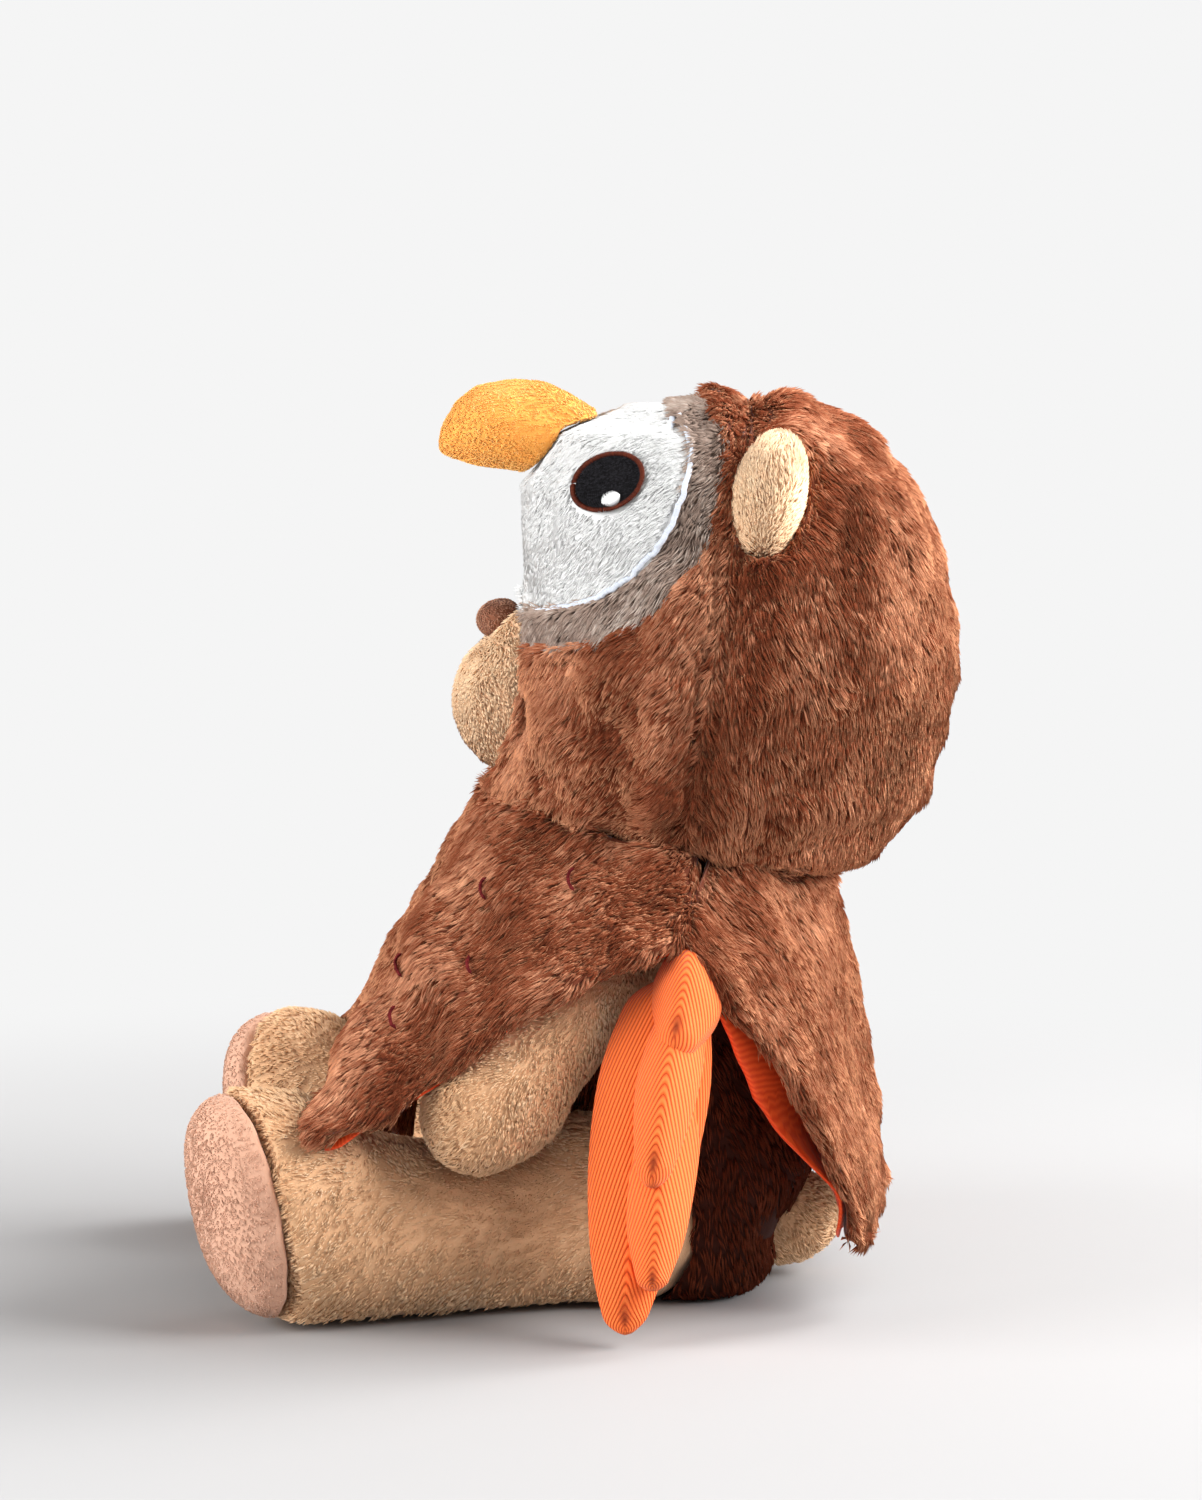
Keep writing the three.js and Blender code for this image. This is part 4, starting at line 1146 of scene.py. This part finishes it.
def spline(rows, share):
    rows = np.array(rows, float)
    rows = np.vstack([2 * rows[0] - rows[1], rows, 2 * rows[-1] - rows[-2]])
    place = np.clip(share, 0, 1) * (len(rows) - 3)
    first = np.minimum(place.astype(int), len(rows) - 4)
    t = (place - first)[:, None]
    a, b, c, d = (rows[first + k] for k in range(4))
    return b + t * (c - a + t * (2 * a - 5 * b + 4 * c - d + t * (3 * (b - c) + d - a))) / 2


def blunt(over):
    return np.sqrt(np.clip(1 - np.maximum(0, over) ** 2, 0, 1))


def feather(facts, side):
    bpy.ops.mesh.primitive_uv_sphere_add(segments=AROUND, ring_count=RINGS, radius=1)
    piece = bpy.context.object
    ball = points_of(piece)
    turn = np.arctan2(ball[:, 1], ball[:, 0])
    share = np.arccos(np.clip(ball[:, 2], -1, 1)) / math.pi
    row = spline(facts.rows, share)
    axis = unit((spline(facts.rows, share + STEP) - spline(facts.rows, share - STEP))[:, :3])
    outer = unit(np.cross([0.0, -1.0, 0.0], axis))
    fore = np.cross(axis, outer)
    wide = row[:, 3] * blunt((share - 1 + TIP_CAP) / TIP_CAP) * blunt((ROOT_CAP - share) / ROOT_CAP)
    narrowing = 1 - RIDGE * np.maximum(np.cos(turn), 0)
    pit = np.exp(-(((share - 0.89) / 0.07) ** 2) - (turn / 0.36) ** 2)
    points = row[:, :3] + outer * (wide * facts.depth * np.cos(turn))[:, None]
    points += fore * (wide * np.sin(turn) * narrowing)[:, None]
    points -= outer * (PIT_DEPTH * pit)[:, None]
    points[:, 0] *= side
    set_points(piece, points * MM)
    length = np.linalg.norm(np.diff(np.array(facts.rows)[:, :3], axis=0), axis=1).sum()
    arch = (np.sqrt(turn**2 + 0.03) - 0.17) * row[:, 3] * facts.rise
    wale = (length * (1 - share) + arch) / (WALE * math.hypot(1, facts.rise))
    for label, values in (("wale", wale), ("pit", pit)):
        layer = piece.data.attributes.new(label, "FLOAT", "POINT")
        layer.data.foreach_set("value", values.astype(np.float32))
    return smooth_shell(piece)


def corduroy_material():
    material, tree, inputs = new_material("corduroy", 0.85, 0.12)
    wale, pit = (add_node(tree, "Attribute", {}, attribute_name=label)["Fac"] for label in ("wale", "pit"))
    wave = maths(tree, "SINE", maths(tree, "MULTIPLY", wale, math.pi))
    crest = maths(tree, "POWER", maths(tree, "ABSOLUTE", wave), 0.85)
    # painted shade: the ramp runs from dark grooves to light crests of the wales
    shades = tree.nodes.new("ShaderNodeValToRGB")
    shades.color_ramp.elements[0].color = colour(186, 60, 18)
    shades.color_ramp.elements[1].color = colour(246, 122, 58)
    shades.color_ramp.elements.new(0.55).color = colour(234, 96, 38)
    tree.links.new(crest, shades.inputs["Fac"])
    # painted shade in the dimple near each feather's tip
    tone = mix(tree, pit, shades.outputs["Color"], colour(150, 58, 26))
    height = maths(tree, "MULTIPLY_ADD", noise(tree, 1500), 0.25, crest)
    colour_and_relief(tree, inputs, tone, height, 0.8, 0.4)
    return material


corduroy = corduroy_material()
for word, side in SIDES.items():
    parts = [feather(facts, side) for facts in FEATHERS]
    bpy.ops.object.select_all(action="DESELECT")
    for part in parts:
        part.select_set(True)
    bpy.context.view_layer.objects.active = parts[0]
    bpy.ops.object.join()
    wing = bpy.context.object
    wing.name = f"wing_{word}_feathers"
    seat(wing, f"wing_{word}", corduroy, [f"wing_{word}"])
    print(wing.name, counts[wing.name], "triangles")

# %% [markdown]
# The floor is a plain pale disc. It belongs to the stage and not to the object. Near the bear it takes the
# shadow. Farther out, a camera ray sees it fade into the colour of the room, so there is no horizon line.

# %% Floor
ROOM_WHITE = colour(245, 245, 245)
FADE_START = 0.14
FADE_END = 0.6


def blend_shaders(tree, factor, first, second, output):
    both = add_node(tree, "MixShader", {"Fac": factor, 1: first, 2: second})["Shader"]
    tree.links.new(both, tree.nodes[output].inputs["Surface"])


bpy.ops.mesh.primitive_circle_add(vertices=96, radius=5, fill_type="NGON", location=(0, 0, -0.5 * MM))
floor = bpy.context.object
floor.name = "floor"
floor_paint, floor_tree, floor_inputs = new_material("floor_paint", 0.7, 0)
floor_inputs["Base Color"].default_value = colour(164, 163, 163)
floor_place = add_node(floor_tree, "TexCoord", {})["Object"]
floor_reach = add_node(floor_tree, "VectorMath", {0: floor_place}, operation="LENGTH")["Value"]
floor_fade = remap(floor_tree, floor_reach, FADE_START, FADE_END, interpolation_type="SMOOTHSTEP")
floor_glow = add_node(floor_tree, "Emission", {"Color": ROOM_WHITE})["Emission"]
floor_ray = add_node(floor_tree, "LightPath", {})["Is Camera Ray"]
floor_seen = maths(floor_tree, "MULTIPLY", floor_fade, floor_ray)
floor_matt = floor_tree.nodes[PRINCIPLED].outputs["BSDF"]
blend_shaders(floor_tree, floor_seen, floor_matt, floor_glow, "Material Output")
floor.data.materials.append(floor_paint)

# %% [markdown]
# Light comes from the sides and from above, as in a white tent, and little of it from the camera. So rims
# and tops are bright, and what faces the camera keeps its deep colour. Each lamp has a place and a size in
# metres and a power in watts.

# %% Light
LAMPS = {
    "key_box": ((0.5, 1.4, 1.0), 1.0, 42),
    "left_box": ((0.5, -1.4, 0.5), 1.0, 33),
    "rim_box": ((-0.4, 1.4, 0.8), 1.0, 30),
    "top_box": ((-0.4, 0.6, 1.6), 1.0, 10),
    "crown_box": ((-0.6, 1.0, 1.3), 0.6, 16),
    "front_box": ((1.7, 0.1, 0.9), 1.0, 6),
}
for name, (place, size, power) in LAMPS.items():
    bpy.ops.object.light_add(type="AREA", location=place)
    lamp = bpy.context.object
    lamp.name = name
    lamp.data.size = size
    lamp.data.energy = power
    lamp.rotation_euler = (LOOK_AT - Vector(place)).to_track_quat("-Z", "Y").to_euler()
world = bpy.data.worlds.new("pale_room")
bpy.context.scene.world = world
world.use_nodes = True
room = world.node_tree
backdrop = room.nodes["Background"]
backdrop.inputs["Color"].default_value = colour(244, 244, 245)
backdrop.inputs["Strength"].default_value = 0.19
seen = add_node(room, "Background", {"Color": ROOM_WHITE, "Strength": 1})["Background"]
room_ray = add_node(room, "LightPath", {})["Is Camera Ray"]
blend_shaders(room, room_ray, backdrop.outputs["Background"], seen, "World Output")
bpy.context.scene.view_settings.view_transform = "Standard"

# %% [markdown]
# Last, the poncho's front halves have their transforms applied, and all the triangles are counted.

# %% Poncho halves and the end
for word in SIDES:
    half, half_lining, pile, ticks, hem_pile = halves[word]
    for piece in halves[word]:
        follow_arm(piece)
print("triangles in all:", sum(counts.values()))
